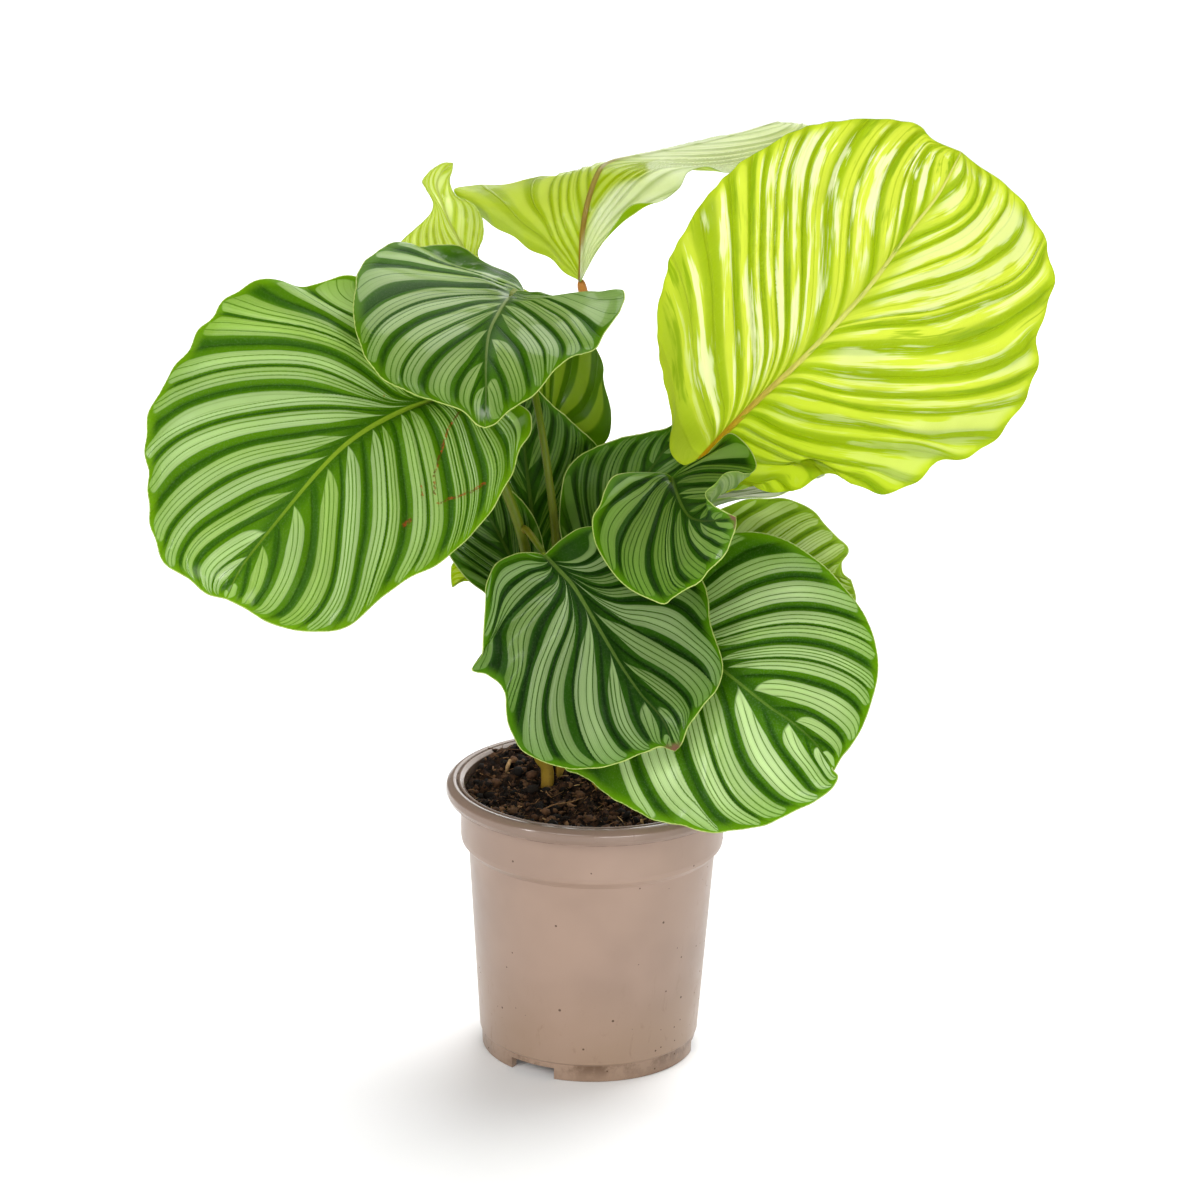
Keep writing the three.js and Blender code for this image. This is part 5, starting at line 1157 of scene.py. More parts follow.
# scars on the large left blade: x and z in mm, then the width
SCRATCHES = [([(-78, 392), (-84, 384), (-88, 371), (-91, 360), (-90, 352)], 0.75),
             ([(-89, 347), (-80, 350), (-71, 353), (-63, 357)], 0.85),
             ([(-107, 336), (-103, 339)], 1.5), ([(-98, 356), (-97, 351)], 0.6)]

# upper faces: copies of one material, each brightened or darkened for the light its blade gets: painted light and
# painted shade
# midrib: two colours, then how much of it shows near the stalk and at the tip
TOP_MAIN = leaf_top('blade_top_main', lin(172, 203, 130), lin(152, 187, 92), lin(44, 88, 0), lin(78, 124, 4),
                    lin(112, 160, 4), (lin(116, 158, 0), lin(160, 186, 60), 0.95, 0.30),
                    (lin(185, 205, 90), lin(110, 155, 0)), scratches=SCRATCHES, depth=1.2, ior=0.05, line=0.90,
                    painted_sheen=(0.00, 0.07, 0.86, 0.93, 0.8, lin(196, 212, 168)))
TOP_CURVED = leaf_top('blade_top_curved', lin(148, 174, 106), lin(134, 162, 82), lin(34, 72, 0), lin(58, 102, 0),
                      lin(84, 130, 0), (lin(76, 114, 0), lin(176, 190, 120), 0.80, 0.20),
                      (lin(170, 200, 70), lin(90, 140, 0)), rough=0.36, ior=0.06, rim_width=0.6, line=0.92,
                      coat=0.45, painted_sheen=(0.02, 0.22, 0.90, 0.95, 0.7, lin(196, 206, 184)))
TOP_FRONT = leaf_top('blade_top_front', lin(138, 162, 106), lin(112, 137, 76), lin(13, 42, 0), lin(32, 70, 0),
                     lin(80, 132, 2), (lin(40, 84, 4), lin(130, 158, 70), 0.75, 0.20),
                     (lin(165, 195, 60), lin(80, 130, 0)), rough=0.40, ior=0.05, line=1.0,
                     coat=0.12, tip=(0.955, 0.985, BROWN_TIP))
TOP_SMALL = leaf_top('blade_top_small', lin(124, 153, 76), lin(98, 128, 50), lin(18, 48, 0), lin(36, 74, 0),
                     lin(90, 142, 2), (lin(44, 84, 4), lin(120, 150, 55), 0.70, 0.15),
                     (lin(165, 200, 60), lin(85, 140, 0)), rough=0.36, ior=0.08, line=1.0,
                     coat=0.35, tip=(0.955, 0.985, BROWN_TIP))
TOP_LOW = leaf_top('blade_top_low', lin(200, 228, 156), lin(174, 206, 124), lin(34, 78, 0), lin(66, 114, 2),
                   lin(104, 158, 2), (lin(60, 112, 4), lin(150, 185, 70), 0.75, 0.25),
                   (lin(180, 208, 80), lin(110, 155, 0)), line=0.92, ior=0.05)
# painted light: a brightened copy for the small blade on the right
TOP_YELLOW_LIT = leaf_top('blade_top_yellow_lit', lin(226, 240, 176), lin(214, 232, 150), lin(96, 134, 6), lin(136, 170, 30),
                      lin(160, 196, 50), (lin(80, 120, 4), lin(140, 165, 50), 0.60, 0.15),
                      (lin(226, 238, 160), lin(170, 196, 30)), share=0.38, line=0.70, ior=0.08)
TOP_SHADE = leaf_top('blade_top_shade', lin(108, 138, 64), lin(92, 124, 48), lin(28, 58, 0), lin(46, 86, 2),
                     lin(74, 124, 2), (lin(52, 94, 4), lin(110, 140, 50), 0.70, 0.20),
                     (lin(160, 195, 50), lin(90, 140, 0)), share=0.22, ior=0.05, line=0.80)
# painted sheen: a grey copy for the blade at the back right, seen edge-on
TOP_BACK_SHEEN = leaf_top('blade_top_back', lin(158, 160, 136), lin(142, 148, 116), lin(84, 98, 56), lin(106, 118, 76),
                    lin(116, 134, 76), (lin(90, 110, 60), lin(120, 140, 80), 0.70, 0.20),
                    (lin(150, 190, 50), lin(80, 140, 4)), share=0.10, rough=0.45, ior=0.05, coat=0.1)
TOP_LIT = leaf_top('blade_top_lit', lin(160, 190, 84), lin(152, 182, 60), lin(80, 122, 2), lin(106, 150, 6),
                   lin(126, 172, 6), (lin(140, 160, 50), lin(170, 180, 80), 0.8, 0.3),
                   (lin(228, 236, 100), lin(200, 218, 0)), share=0.50, ior=0.10)
# lower faces: the tall, back and curl copies are painted far paler and yellower than the plain one, painted light
# standing in for light shining through from behind, besides their translucency
UNDER_MAIN = leaf_under('blade_under', lin(150, 172, 108), lin(108, 138, 66), lin(130, 164, 56), UNDER_RIB,
                        (lin(180, 208, 70), lin(130, 172, 10), lin(120, 110, 40)), ior=0.2)
UNDER_TALL = leaf_under('blade_under_tall', lin(214, 226, 84), lin(156, 184, 0), lin(202, 218, 44),
                        (lin(206, 150, 0), lin(230, 228, 130)),
                        (lin(246, 247, 84), lin(202, 216, 0), lin(220, 164, 0)), share=0.50, rough=0.42, ior=0.10,
                        depth=2.2, soft=2.2, rib_end=(0.05, 0.50), blend=0.60, coat=1.0,
                        gleam=(0.52, 0.98, lin(255, 255, 220), lin(146, 178, 0)))
UNDER_BACK = leaf_under('blade_under_back', lin(198, 215, 92), lin(164, 188, 0), lin(186, 208, 54),
                        (lin(160, 122, 44), lin(184, 172, 96)),
                        (lin(242, 247, 106), lin(212, 222, 0), lin(176, 132, 44)), share=0.50, rough=0.34, ior=0.15,
                        depth=1.5, rib_end=(0.1, 0.5), soft=2.2, blend=0.6, coat=0.4,
                        fold=dict(rib=(0.40, 0.56), slope=0.0, at=(0.37, 0.60), width=(0.05, 0.40), grow=5.2,
                                  col=lin(240, 246, 218), lit=lin(248, 251, 218), vein=lin(200, 214, 140)))
UNDER_CURL = leaf_under('blade_under_curl', lin(228, 242, 166), lin(196, 218, 60), lin(214, 230, 104),
                        (lin(188, 200, 70), lin(212, 222, 120)),
                        (lin(252, 255, 190), lin(232, 240, 60), lin(214, 226, 80)), share=0.55, rough=0.34, ior=0.2,
                        depth=1.3, soft=2.2, blend=0.65, coat=0.4,
                        near=(0.34, 0.50, lin(136, 164, 50), lin(84, 122, 6)))

SKIN = {
    'left_large': (TOP_MAIN, UNDER_MAIN), 'top_front': (TOP_CURVED, UNDER_MAIN),
    'right_tall': (TOP_LIT, UNDER_TALL), 'top_back': (TOP_LIT, UNDER_BACK),
    'back_left_curled': (TOP_LIT, UNDER_CURL), 'back_centre': (TOP_SHADE, UNDER_MAIN),
    'back_right': (TOP_SHADE, UNDER_MAIN), 'lower_left': (TOP_SHADE, UNDER_MAIN),
    'front_centre': (TOP_FRONT, UNDER_MAIN), 'front_small': (TOP_SMALL, UNDER_MAIN),
    'right_low': (TOP_LOW, UNDER_MAIN), 'right_middle': (TOP_YELLOW_LIT, UNDER_MAIN),
    'right_back': (TOP_BACK_SHEEN, UNDER_MAIN), 'left_back_small': (TOP_LIT, UNDER_CURL),
}

for name in LEAVES:
    ob = leaf_object(name, (SKIN[name][0], SKIN[name][1], RIM_PALE))

# ------------------------------------------------------------------------ stalks
H = 163.0


def soil_height(x, y):
    def heap(cx, cy, s, h):
        return h * np.exp(-((x - cx) ** 2 + (y - cy) ** 2) / (2 * s * s))
    return (151.0 + heap(-14, 18, 26, 6) + heap(-50, 40, 17, 9)
            + 0.9 * np.sin(0.31 * x + 1.3) * np.cos(0.27 * y - 0.4) + 0.5 * np.sin(0.63 * y + 0.2 * x))


def stalk_material(name, low, mid, high, joint):
    g = Nodes(name)
    run, turn = g.uv('Run')            # run 0 at the soil, 1 at the blade
    pos = g.where()
    s = g.vec(g.math('MULTIPLY', turn, 9.0), g.math('MULTIPLY', run, 3.0), 0.0)
    streak = g.noise(s, 4.0, 4.0, 0.6)
    speck = g.noise(pos, 420.0, 2.0, 0.55)
    slow = g.noise(pos, 40.0, 2.0)
    r = g.math('ADD', run, g.math('MULTIPLY', g.math('SUBTRACT', slow, 0.5), 0.12))
    col = g.mix(g.step(r, 0.02, 0.22), low, mid)
    col = g.mix(g.step(r, 0.25, 0.85), col, high)
    col = g.mix(g.step(r, 0.90, 0.97), col, joint)
    col = g.mix(g.math('MULTIPLY', g.step(streak, 0.45, 0.75), 0.35), col, low)
    col = g.mix(g.math('MULTIPLY', g.step(speck, 0.60, 0.72), 0.30), col, lin(90, 70, 30))
    h = g.math('ADD', streak, g.math('MULTIPLY', speck, 0.5))
    normal = g.bump(h, 0.35, 0.0004)
    return g.finish(through(g, 0.12, g.shader(col, g.line(speck, 0.3, 0.7, 0.34, 0.46), normal, Specular_IOR_Level=0.18),
                            g.mix(0.5, col, high)))


STALK_GREEN = stalk_material('stalk_green', lin(152, 120, 44), lin(112, 112, 16), lin(84, 108, 8), lin(96, 116, 16))
STALK_TAN = stalk_material('stalk_tan', lin(152, 120, 48), lin(146, 124, 36), lin(190, 132, 56), lin(186, 122, 54))


def tube(points, radius, sides, cap_round=True, flat=1.0, lean=None):
    """A closed tube: rings of verts along points, with the run and turn of each vert."""
    p = np.asarray(points, float)
    n = len(p)
    t = np.gradient(p, axis=0)
    t /= np.linalg.norm(t, axis=1)[:, None]
    ref = np.array([0.0, 1.0, 0.0]) if lean is None else np.asarray(lean, float)
    side = np.cross(t[0], ref)
    side /= np.linalg.norm(side)
    verts, runs, turns = [], [], []
    for i in range(n):
        side = side - t[i] * (side @ t[i])
        side /= np.linalg.norm(side)
        up = np.cross(side, t[i])
        for k in range(sides):
            a = 2 * math.pi * k / sides
            r = radius[i]
            # a shallow channel along the upper side
            ch = 1 - 0.10 * math.exp(-((a - math.pi / 2) / 0.45) ** 2)
            verts.append(p[i] + (side * math.cos(a) + up * math.sin(a) * flat) * r * ch)
            runs.append(i / (n - 1))
            turns.append(k / sides)
    faces = []
    for i in range(n - 1):
        for k in range(sides):
            a, b = i * sides + k, i * sides + (k + 1) % sides
            faces.append([a, b, b + sides, a + sides])
    faces.append(list(range(sides))[::-1])
    faces.append([(n - 1) * sides + k for k in range(sides)])
    return np.array(verts), faces, np.array(runs), np.array(turns)


def mesh_object(name, verts, faces, materials, smooth_faces=True, index=None):
    me = bpy.data.meshes.new(name)
    me.from_pydata((np.asarray(verts) * MM).tolist(), [], faces)
    me.update()
    for m in materials:
        me.materials.append(m)
    if smooth_faces:
        me.polygons.foreach_set('use_smooth', np.ones(len(me.polygons), bool))
    if index is not None:
        me.polygons.foreach_set('material_index', np.asarray(index, np.int32))
    ob = bpy.data.objects.new(name, me)
    scene.collection.objects.link(ob)
    return ob


def put_uv(me, name, a, b):
    """One value pair per vertex, as a UV map."""
    v = np.zeros(len(me.loops), np.int64)
    me.loops.foreach_get('vertex_index', v)
    layer = me.uv_layers.new(name=name, do_init=False)
    layer.data.foreach_set('uv', np.stack([a[v], b[v]], 1).astype(np.float32).ravel())
    return v


for name, s in STALKS.items():
    pts = [list(q) for q in s['path']]
    if s['foot']:
        x, y = s['foot']
        z = float(soil_height(x, y))
        pts = [[x, y, z - 9], [x, y, z + 12]] + pts
    else:
        # this one leaves another stalk, from inside its sheath
        mother = spline(STALKS['left_large']['path'])(np.linspace(0, 1, 300))
        k = int(np.linalg.norm(mother - np.array(pts[0]), axis=1).argmin())
        pts = [mother[max(k - 10, 0)].tolist(), (0.55 * mother[k] + 0.45 * np.array(pts[0])).tolist()] + pts[1:]
    # the last millimetres run into the blade's joint
    joint = np.array(LEAVES[name]['mid'][0], float)
    if np.linalg.norm(joint - np.array(pts[-1])) < 12:
        pts.append((np.array(pts[-1]) + 0.92 * (joint - np.array(pts[-1]))).tolist())
    curve = spline(pts)
    n = max(8, int(curve.length / (2.2)))
    w = np.linspace(0, 1, n)
    c = curve(w)
    r0, r1 = s['radius']
    rad = r0 + (r1 - r0) * smooth(w, 0.0, 0.8)
    if s['foot']:
        rad = rad * (1 + 0.10 * np.exp(-((w * curve.length - 14) / 16) ** 2))
    top = (1 - w) * curve.length
    rad = rad * (1 + 0.14 * smooth(top, 0, 6) * (1 - smooth(top, 20, 30)))
    rad = rad * (0.70 + 0.30 * smooth(top, 0, 3.0))
    # small irregularities
    rad = rad * (1 + 0.02 * np.sin(w * curve.length / 7.0 + len(name)))
    verts, faces, runs, turns = tube(c, rad, 22)
    ob = mesh_object('stalk_' + name, verts, faces, [STALK_TAN if name in ('top_back', 'back_left_curled') else STALK_GREEN])
    lv = put_uv(ob.data, 'Run', runs, turns)
    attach(ob, 'root')
    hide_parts('petiole_' + name)

# --------------------------------------------------------------------------- pot
def rounded(points, steps=4):
    """A profile of (r, z, fillet radius) corners as a list of (r, z)."""
    out = []
    n = len(points)
    for i, (r, z, f) in enumerate(points):
        if f <= 0 or i in (0, n - 1):
            out.append((r, z))
            continue
        p = np.array([r, z])
        a, b = np.array(points[i - 1][:2], float) - p, np.array(points[i + 1][:2], float) - p
        la, lb = np.linalg.norm(a), np.linalg.norm(b)
        a, b = a / la, b / lb
        angle = math.acos(max(-1, min(1, float(a @ b))))
        cut = min(f / math.tan(angle / 2), 0.48 * la, 0.48 * lb)
        q0, q1 = p + a * cut, p + b * cut
        for k in range(steps + 1):
            t = k / steps
            out.append(tuple((1 - t) ** 2 * q0 + 2 * t * (1 - t) * p + t * t * q1))
    return out


def turn(name, profile, segments, materials):
    """A solid of revolution about Z; profile runs from the axis out, up and back in."""
    verts, faces = [], []
    rings = []
    for r, z in profile:
        if r < 1e-6:
            rings.append([len(verts)])
            verts.append((0, 0, z))
        else:
            rings.append(list(range(len(verts), len(verts) + segments)))
            for k in range(segments):
                a = 2 * math.pi * k / segments
                verts.append((r * math.cos(a), r * math.sin(a), z))
    for i in range(len(rings) - 1):
        p, q = rings[i], rings[i + 1]
        for k in range(segments):
            k2 = (k + 1) % segments
            if len(p) == 1:
                faces.append([p[0], q[k2], q[k]])
            elif len(q) == 1:
                faces.append([p[k], p[k2], q[0]])
            else:
                faces.append([p[k], p[k2], q[k2], q[k]])
    return mesh_object(name, verts, faces, materials)


POT_PROFILE = [
    (0, 0, 0), (13.6, 0, .5), (14.6, 7.0, .6), (56.7, 7.0, .6), (57.5, 0, .6), (62.2, 0, .8),
    (62.6, 10.2, .5), (63.7, 11.2, .7), (71.4, 123.2, 2.0), (75.7, 127.6, 1.6), (76.1, 130.5, 1.2),
    (76.3, 152.6, .9), (81.9, 153.4, .5), (83.6, 153.7, .7), (84.9, 156.6, 2.2), (84.7, 160.4, 2.2), (81.6, 163.0, 2.6),
    (79.2, 162.7, .6), (78.7, 161.9, .3), (78.0, 161.9, .3), (77.6, 162.8, .35), (76.7, 162.9, .5), (74.4, 161.2, 1.2),
    (73.9, 156.5, 2.0), (73.7, 129.4, 1.0), (69.2, 124.4, 2.0), (61.5, 13.4, 1.5), (59.6, 9.2, 1.0), (0, 9.2, 0)]


def pot_material():
    g = Nodes('pot_plastic')
    pos = g.where()
    sep = g.add('ShaderNodeSeparateXYZ')
    g.put(sep.inputs[0], pos)
    x, y, z = sep.outputs
    ang = g.math('ARCTAN2', y, x)
    rad = g.math('SQRT', g.math('ADD', g.math('MULTIPLY', x, x), g.math('MULTIPLY', y, y)))
    slow = g.noise(pos, 14.0, 3.0, 0.55)
    mid = g.noise(pos, 90.0, 4.0, 0.6)
    fine = g.noise(pos, 900.0, 2.0, 0.6)
    base = g.mix(g.step(slow, 0.35, 0.68), lin(150, 126, 110), lin(139, 116, 101))
    # warmer low down, where dust from the peat clings
    base = g.mix(g.math('MULTIPLY', g.step(z, 0.012, 0.075, 1.0, 0.0), g.line(slow, 0.3, 0.7, 0.15, 0.6)), base, lin(150, 124, 98))
    # specks of peat
    v = g.voronoi(pos, 360.0)
    cell = g.add('ShaderNodeSeparateXYZ')
    g.put(cell.inputs[0], v.outputs['Color'])
    low = g.step(z, 0.010, 0.080, 1.0, 0.0)
    right = g.step(x, 0.020, 0.072)
    chance = g.math('ADD', g.math('MULTIPLY', low, 0.06), g.math('ADD', 0.020, g.math('MULTIPLY', right, 0.06)))
    pick = g.math('LESS_THAN', cell.outputs[0], chance)
    size = g.line(cell.outputs[1], 0.0, 1.0, 0.07, 0.26)
    dot = g.math('MULTIPLY', pick, g.math('LESS_THAN', g.math('ADD', v.outputs['Distance'], g.math('MULTIPLY', g.math('SUBTRACT', mid, 0.5), 0.3)), size))
    col = g.mix(g.math('MULTIPLY', dot, 0.85), base, lin(70, 50, 36))
    # smears: streaks low down and on the right
    st = g.add('ShaderNodeMapping')
    g.put(st.inputs['Vector'], g.vec(g.math('MULTIPLY', ang, 0.07), z, 0.0))
    st.inputs['Scale'].default_value = (60.0, 26.0, 1.0)
    smear = g.noise(st.outputs[0], 3.0, 6.0, 0.68, 0.6)
    amount = g.math('ADD', g.math('MULTIPLY', low, 0.30), g.math('MULTIPLY', right, 0.14))
    sm = g.math('MULTIPLY', g.step(smear, 0.56, 0.72), amount)
    col = g.mix(sm, col, lin(112, 84, 58))
    # painted shade: the rim is darkened, and the wall inside it darker still
    rim = g.step(z, 0.1538, 0.1548)
    inside = g.math('MULTIPLY', g.step(rad, 0.0742, 0.0750, 1.0, 0.0), g.step(z, 0.130, 0.136))
    col = scale_color(g, col, g.line(g.math('MAXIMUM', g.math('MULTIPLY', rim, 0.45), inside), 0.0, 1.0, 1.0, 0.42))
    # peat rubbed onto the foot ring
    ring = g.math('MULTIPLY', g.step(z, 0.0095, 0.0112, 1.0, 0.0), g.step(g.noise(pos, 55.0, 5.0, 0.7), 0.42, 0.66))
    top_of_ring = g.step(z, 0.002, 0.010, 0.35, 1.0)
    col = g.mix(g.math('MULTIPLY', g.math('MULTIPLY', ring, top_of_ring), 0.80), col, lin(84, 58, 38))
    # painted shade in the corner beneath the rim, broken into patches; the groove on top of it is darker in patches too
    rim_lip_shade = g.math('MULTIPLY', g.step(g.math('ABSOLUTE', g.math('SUBTRACT', z, 0.15365)), 0.0002, 0.0008, 1.0, 0.0),
                   g.step(rad, 0.0760, 0.0768))
    col = g.mix(g.math('MULTIPLY', rim_lip_shade, g.step(mid, 0.36, 0.60, 0.15, 0.95)), col, lin(78, 54, 38))
    groove = g.math('MULTIPLY', g.step(g.math('ABSOLUTE', g.math('SUBTRACT', rad, 0.07835)), 0.0003, 0.0008, 1.0, 0.0),
                    g.step(z, 0.1610, 0.1616))
    col = g.mix(g.math('MULTIPLY', groove, g.step(g.noise(pos, 260.0, 3.0, 0.7), 0.42, 0.60, 0.10, 0.95)), col, lin(66, 46, 34))
    # crumbs stuck inside the wall above the peat
    wall = g.math('MULTIPLY', g.math('MULTIPLY', g.step(rad, 0.0741, 0.0744, 1.0, 0.0), g.step(z, 0.149, 0.161, 1.0, 0.0)),
                  g.step(z, 0.136, 0.142))
    col = g.mix(g.math('MULTIPLY', wall, g.step(g.noise(pos, 160.0, 5.0, 0.7), 0.44, 0.60, 0.10, 0.9)), col, lin(60, 42, 30))
    # marks of the mould: short radial lines on the rim
    k = g.math('FRACT', g.math('MULTIPLY', g.math('ADD', ang, 0.11), 24 / (2 * math.pi)))
    k = g.math('ABSOLUTE', g.math('SUBTRACT', k, 0.5))
    tick = g.math('MULTIPLY', g.step(k, 0.006, 0.016, 1.0, 0.0), g.step(z, 0.1545, 0.1560))
    col = g.mix(g.math('MULTIPLY', tick, 0.30), col, lin(122, 100, 88))
    h = g.math('ADD', g.math('MULTIPLY', mid, 0.5), g.math('MULTIPLY', fine, 0.15))
    h = g.math('SUBTRACT', h, g.math('MULTIPLY', tick, 2.0))
    h = g.math('ADD', h, g.math('MULTIPLY', g.math('ADD', dot, sm), 1.2))
    normal = g.bump(h, 0.30, 0.00012)
    # rougher on the specks, smears, groove and the painted shade beneath the rim
    dirt_and_shade = g.math('ADD', g.math('ADD', dot, sm), g.math('ADD', rim_lip_shade, groove), clamp=True)
    r = g.mixf(rim, g.line(mid, 0.3, 0.7, 0.30, 0.38), g.line(mid, 0.3, 0.7, 0.16, 0.24))
    r = g.mixf(dirt_and_shade, r, 0.9)
    return g.finish(g.shader(col, r, normal, Specular_IOR_Level=0.5))


POT_MAT = pot_material()
pot = turn('pot_body', rounded(POT_PROFILE), 288, [POT_MAT])


def cutter(verts, faces):
    ob = mesh_object('cutter', verts, faces, [POT_MAT], False)
    m = pot.modifiers.new('cut', 'BOOLEAN')
    m.operation, m.solver, m.object = 'DIFFERENCE', 'EXACT', ob
    return ob


def box_at(angle, r0, r1, wide, z0, z1, taper=0.0):
    c, s = math.cos(angle), math.sin(angle)
    out = []
    for z, w in ((z0, wide + taper), (z1, wide)):
        for r, t in ((r0, -w / 2), (r1, -w / 2), (r1, w / 2), (r0, w / 2)):
            out.append((r * c - t * s, r * s + t * c, z))
    return out, [[0, 3, 2, 1], [4, 5, 6, 7], [0, 1, 5, 4], [1, 2, 6, 5], [2, 3, 7, 6], [3, 0, 4, 7]]


cutters = [cutter(*box_at(math.radians(a), 54.8, 65.4, 29, -3, 7.0)) for a in (238.5, 358.5, 118.5)]
for i in range(6):
    a = 2 * math.pi * (i + 0.5) / 6
    cx, cy = 38 * math.cos(a), 38 * math.sin(a)
    vs, fs = [], []
    for z in (4.0, 12.0):
        vs += [(cx + 4.2 * math.cos(t), cy + 4.2 * math.sin(t), z) for t in np.linspace(0, 2 * math.pi, 24, endpoint=False)]
    fs = [list(range(24))[::-1], list(range(24, 48))] + [[k, (k + 1) % 24, 24 + (k + 1) % 24, 24 + k] for k in range(24)]
    cutters.append(cutter(vs, fs))
bpy.context.view_layer.update()
dg = bpy.context.evaluated_depsgraph_get()
cut_mesh = bpy.data.meshes.new_from_object(pot.evaluated_get(dg))
pot.modifiers.clear()
pot.data = cut_mesh
for ob in cutters:
    bpy.data.objects.remove(ob)
cut_mesh.polygons.foreach_set('use_smooth', np.ones(len(cut_mesh.polygons), bool))
cut_mesh.set_sharp_from_angle(angle=math.radians(38))
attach(pot, 'root')
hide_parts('pot')

# -------------------------------------------------------------------------- peat
def peat_material(name, tone=0.0):
    g = Nodes(name)
    pos = g.where()
    a = g.noise(pos, 260.0, 6.0, 0.65, 0.5)
    b = g.noise(pos, 70.0, 3.0, 0.6)
    c = g.noise(pos, 1100.0, 3.0, 0.6)
    col = g.mix(g.step(a, 0.42, 0.66), lin(12, 8, 5), lin(72, 48, 32))
    col = g.mix(g.math('MULTIPLY', g.step(b, 0.42, 0.62), 0.6), col, lin(30, 19, 13))
    col = g.mix(g.math('MULTIPLY', g.step(c, 0.62, 0.76), 0.45), col, lin(120, 84, 56))
    h = g.math('ADD', a, g.math('MULTIPLY', c, 0.4))
    return g.finish(g.shader(col, g.line(c, 0.3, 0.7, 0.8, 0.98), g.bump(h, 0.9, 0.0016), Specular_IOR_Level=0.15))


def bits_material(name, colours, scale):
    g = Nodes(name)
    r, q = g.uv('Bit')
    pos = g.where()
    n = g.noise(pos, scale, 4.0, 0.65)
    col = colours[0][1]
    for at, c in colours[1:]:
        col = g.mix(g.step(r, at - 0.03, at + 0.03), col, c)
    f = g.line(n, 0.3, 0.7, 0.45, 1.30)
    col = g.mix(1.0, col, g.vec(f, f, f), 'MULTIPLY')
    return g.finish(g.shader(col, g.line(n, 0.3, 0.7, 0.75, 0.95), g.bump(n, 0.6, 0.0005), Specular_IOR_Level=0.2))


PEAT = peat_material('peat')
CRUMB = bits_material('peat_crumbs', [(0, lin(26, 17, 11)), (0.26, lin(84, 57, 38)), (0.48, lin(100, 70, 47)),
                                      (0.68, lin(18, 12, 8)), (0.93, lin(134, 98, 68))], 600.0)
FIBRE = bits_material('peat_fibres', [(0, lin(86, 60, 42)), (0.40, lin(120, 86, 56)), (0.72, lin(158, 118, 78)),
                                      (0.92, lin(186, 150, 104))], 300.0)


def peat_top(x, y):
    """Height of the visible peat, lumps included, at points in mm."""
    x, y = np.broadcast_arrays(np.asarray(x, float), np.asarray(y, float))
    z = soil_height(x, y)
    lump = np.empty(x.size)
    for i, (a, b) in enumerate(zip(x.ravel(), y.ravel())):
        p = Vector((a, b, 0.0))
        lump[i] = (2.6 * noise.noise(p * 0.10) + 3.4 * noise.noise(p * 0.21 + Vector((9, 3, 1)))
                   + 2.2 * abs(noise.noise(p * 0.42 + Vector((1, 7, 2)))) + 0.7 * noise.noise(p * 1.0) - 0.5)
    r = np.hypot(x, y)
    lump = lump.reshape(x.shape) * (1 - 0.5 * smooth(r, 66, 73))
    front = 3.2 * smooth(r, 52, 72) * smooth(-y, 5, 60)
    left = 2.6 * smooth(r, 56, 73.4) * smooth(-x, 10, 55)
    return z + lump * 1.45 + front + left


rings, segs = ((92, 300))
rr = 73.35 * (np.arange(rings + 1) / rings) ** 0.8
verts, faces = [], []
aa = 2 * math.pi * np.arange(segs) / segs
X = rr[1:, None] * np.cos(aa)[None]
Y = rr[1:, None] * np.sin(aa)[None]
Z = peat_top(X, Y)
verts = [(0, 0, float(peat_top(0.0, 0.0)))] + [tuple(q) for q in np.stack([X, Y, Z], -1).reshape(-1, 3)]
for k in range(segs):
    faces.append([0, 1 + k, 1 + (k + 1) % segs])
for i in range(rings - 1):
    for k in range(segs):
        a, b = 1 + i * segs + k, 1 + i * segs + (k + 1) % segs
        faces.append([a, a + segs, b + segs, b])
for r, z in ((73.2, 146.0), (73.0, 129.8), (68.7, 124.8), (61.0, 13.8), (59.2, 9.7)):
    start = len(verts)
    verts += [(r * math.cos(t), r * math.sin(t), z) for t in aa]
    prev = start - segs
    for k in range(segs):
        a, b = prev + k, prev + (k + 1) % segs
        faces.append([a, start + k, start + (k + 1) % segs, b])
faces.append([start + k for k in range(segs)][::-1])
peat = mesh_object('peat_bed', verts, faces, [PEAT])
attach(peat, 'root')
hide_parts('soil')

rnd = random.Random(41)
FEET = [(s['foot'][0], s['foot'][1], s['radius'][0]) for s in STALKS.values() if s['foot']]


def spot(limit=72.5):
    while True:
        x, y = rnd.uniform(-73, 73), rnd.uniform(-73, 73)
        if x * x + y * y < limit * limit and all((x - a) ** 2 + (y - b) ** 2 > (r + 1.2) ** 2 for a, b, r in FEET):
            return x, y


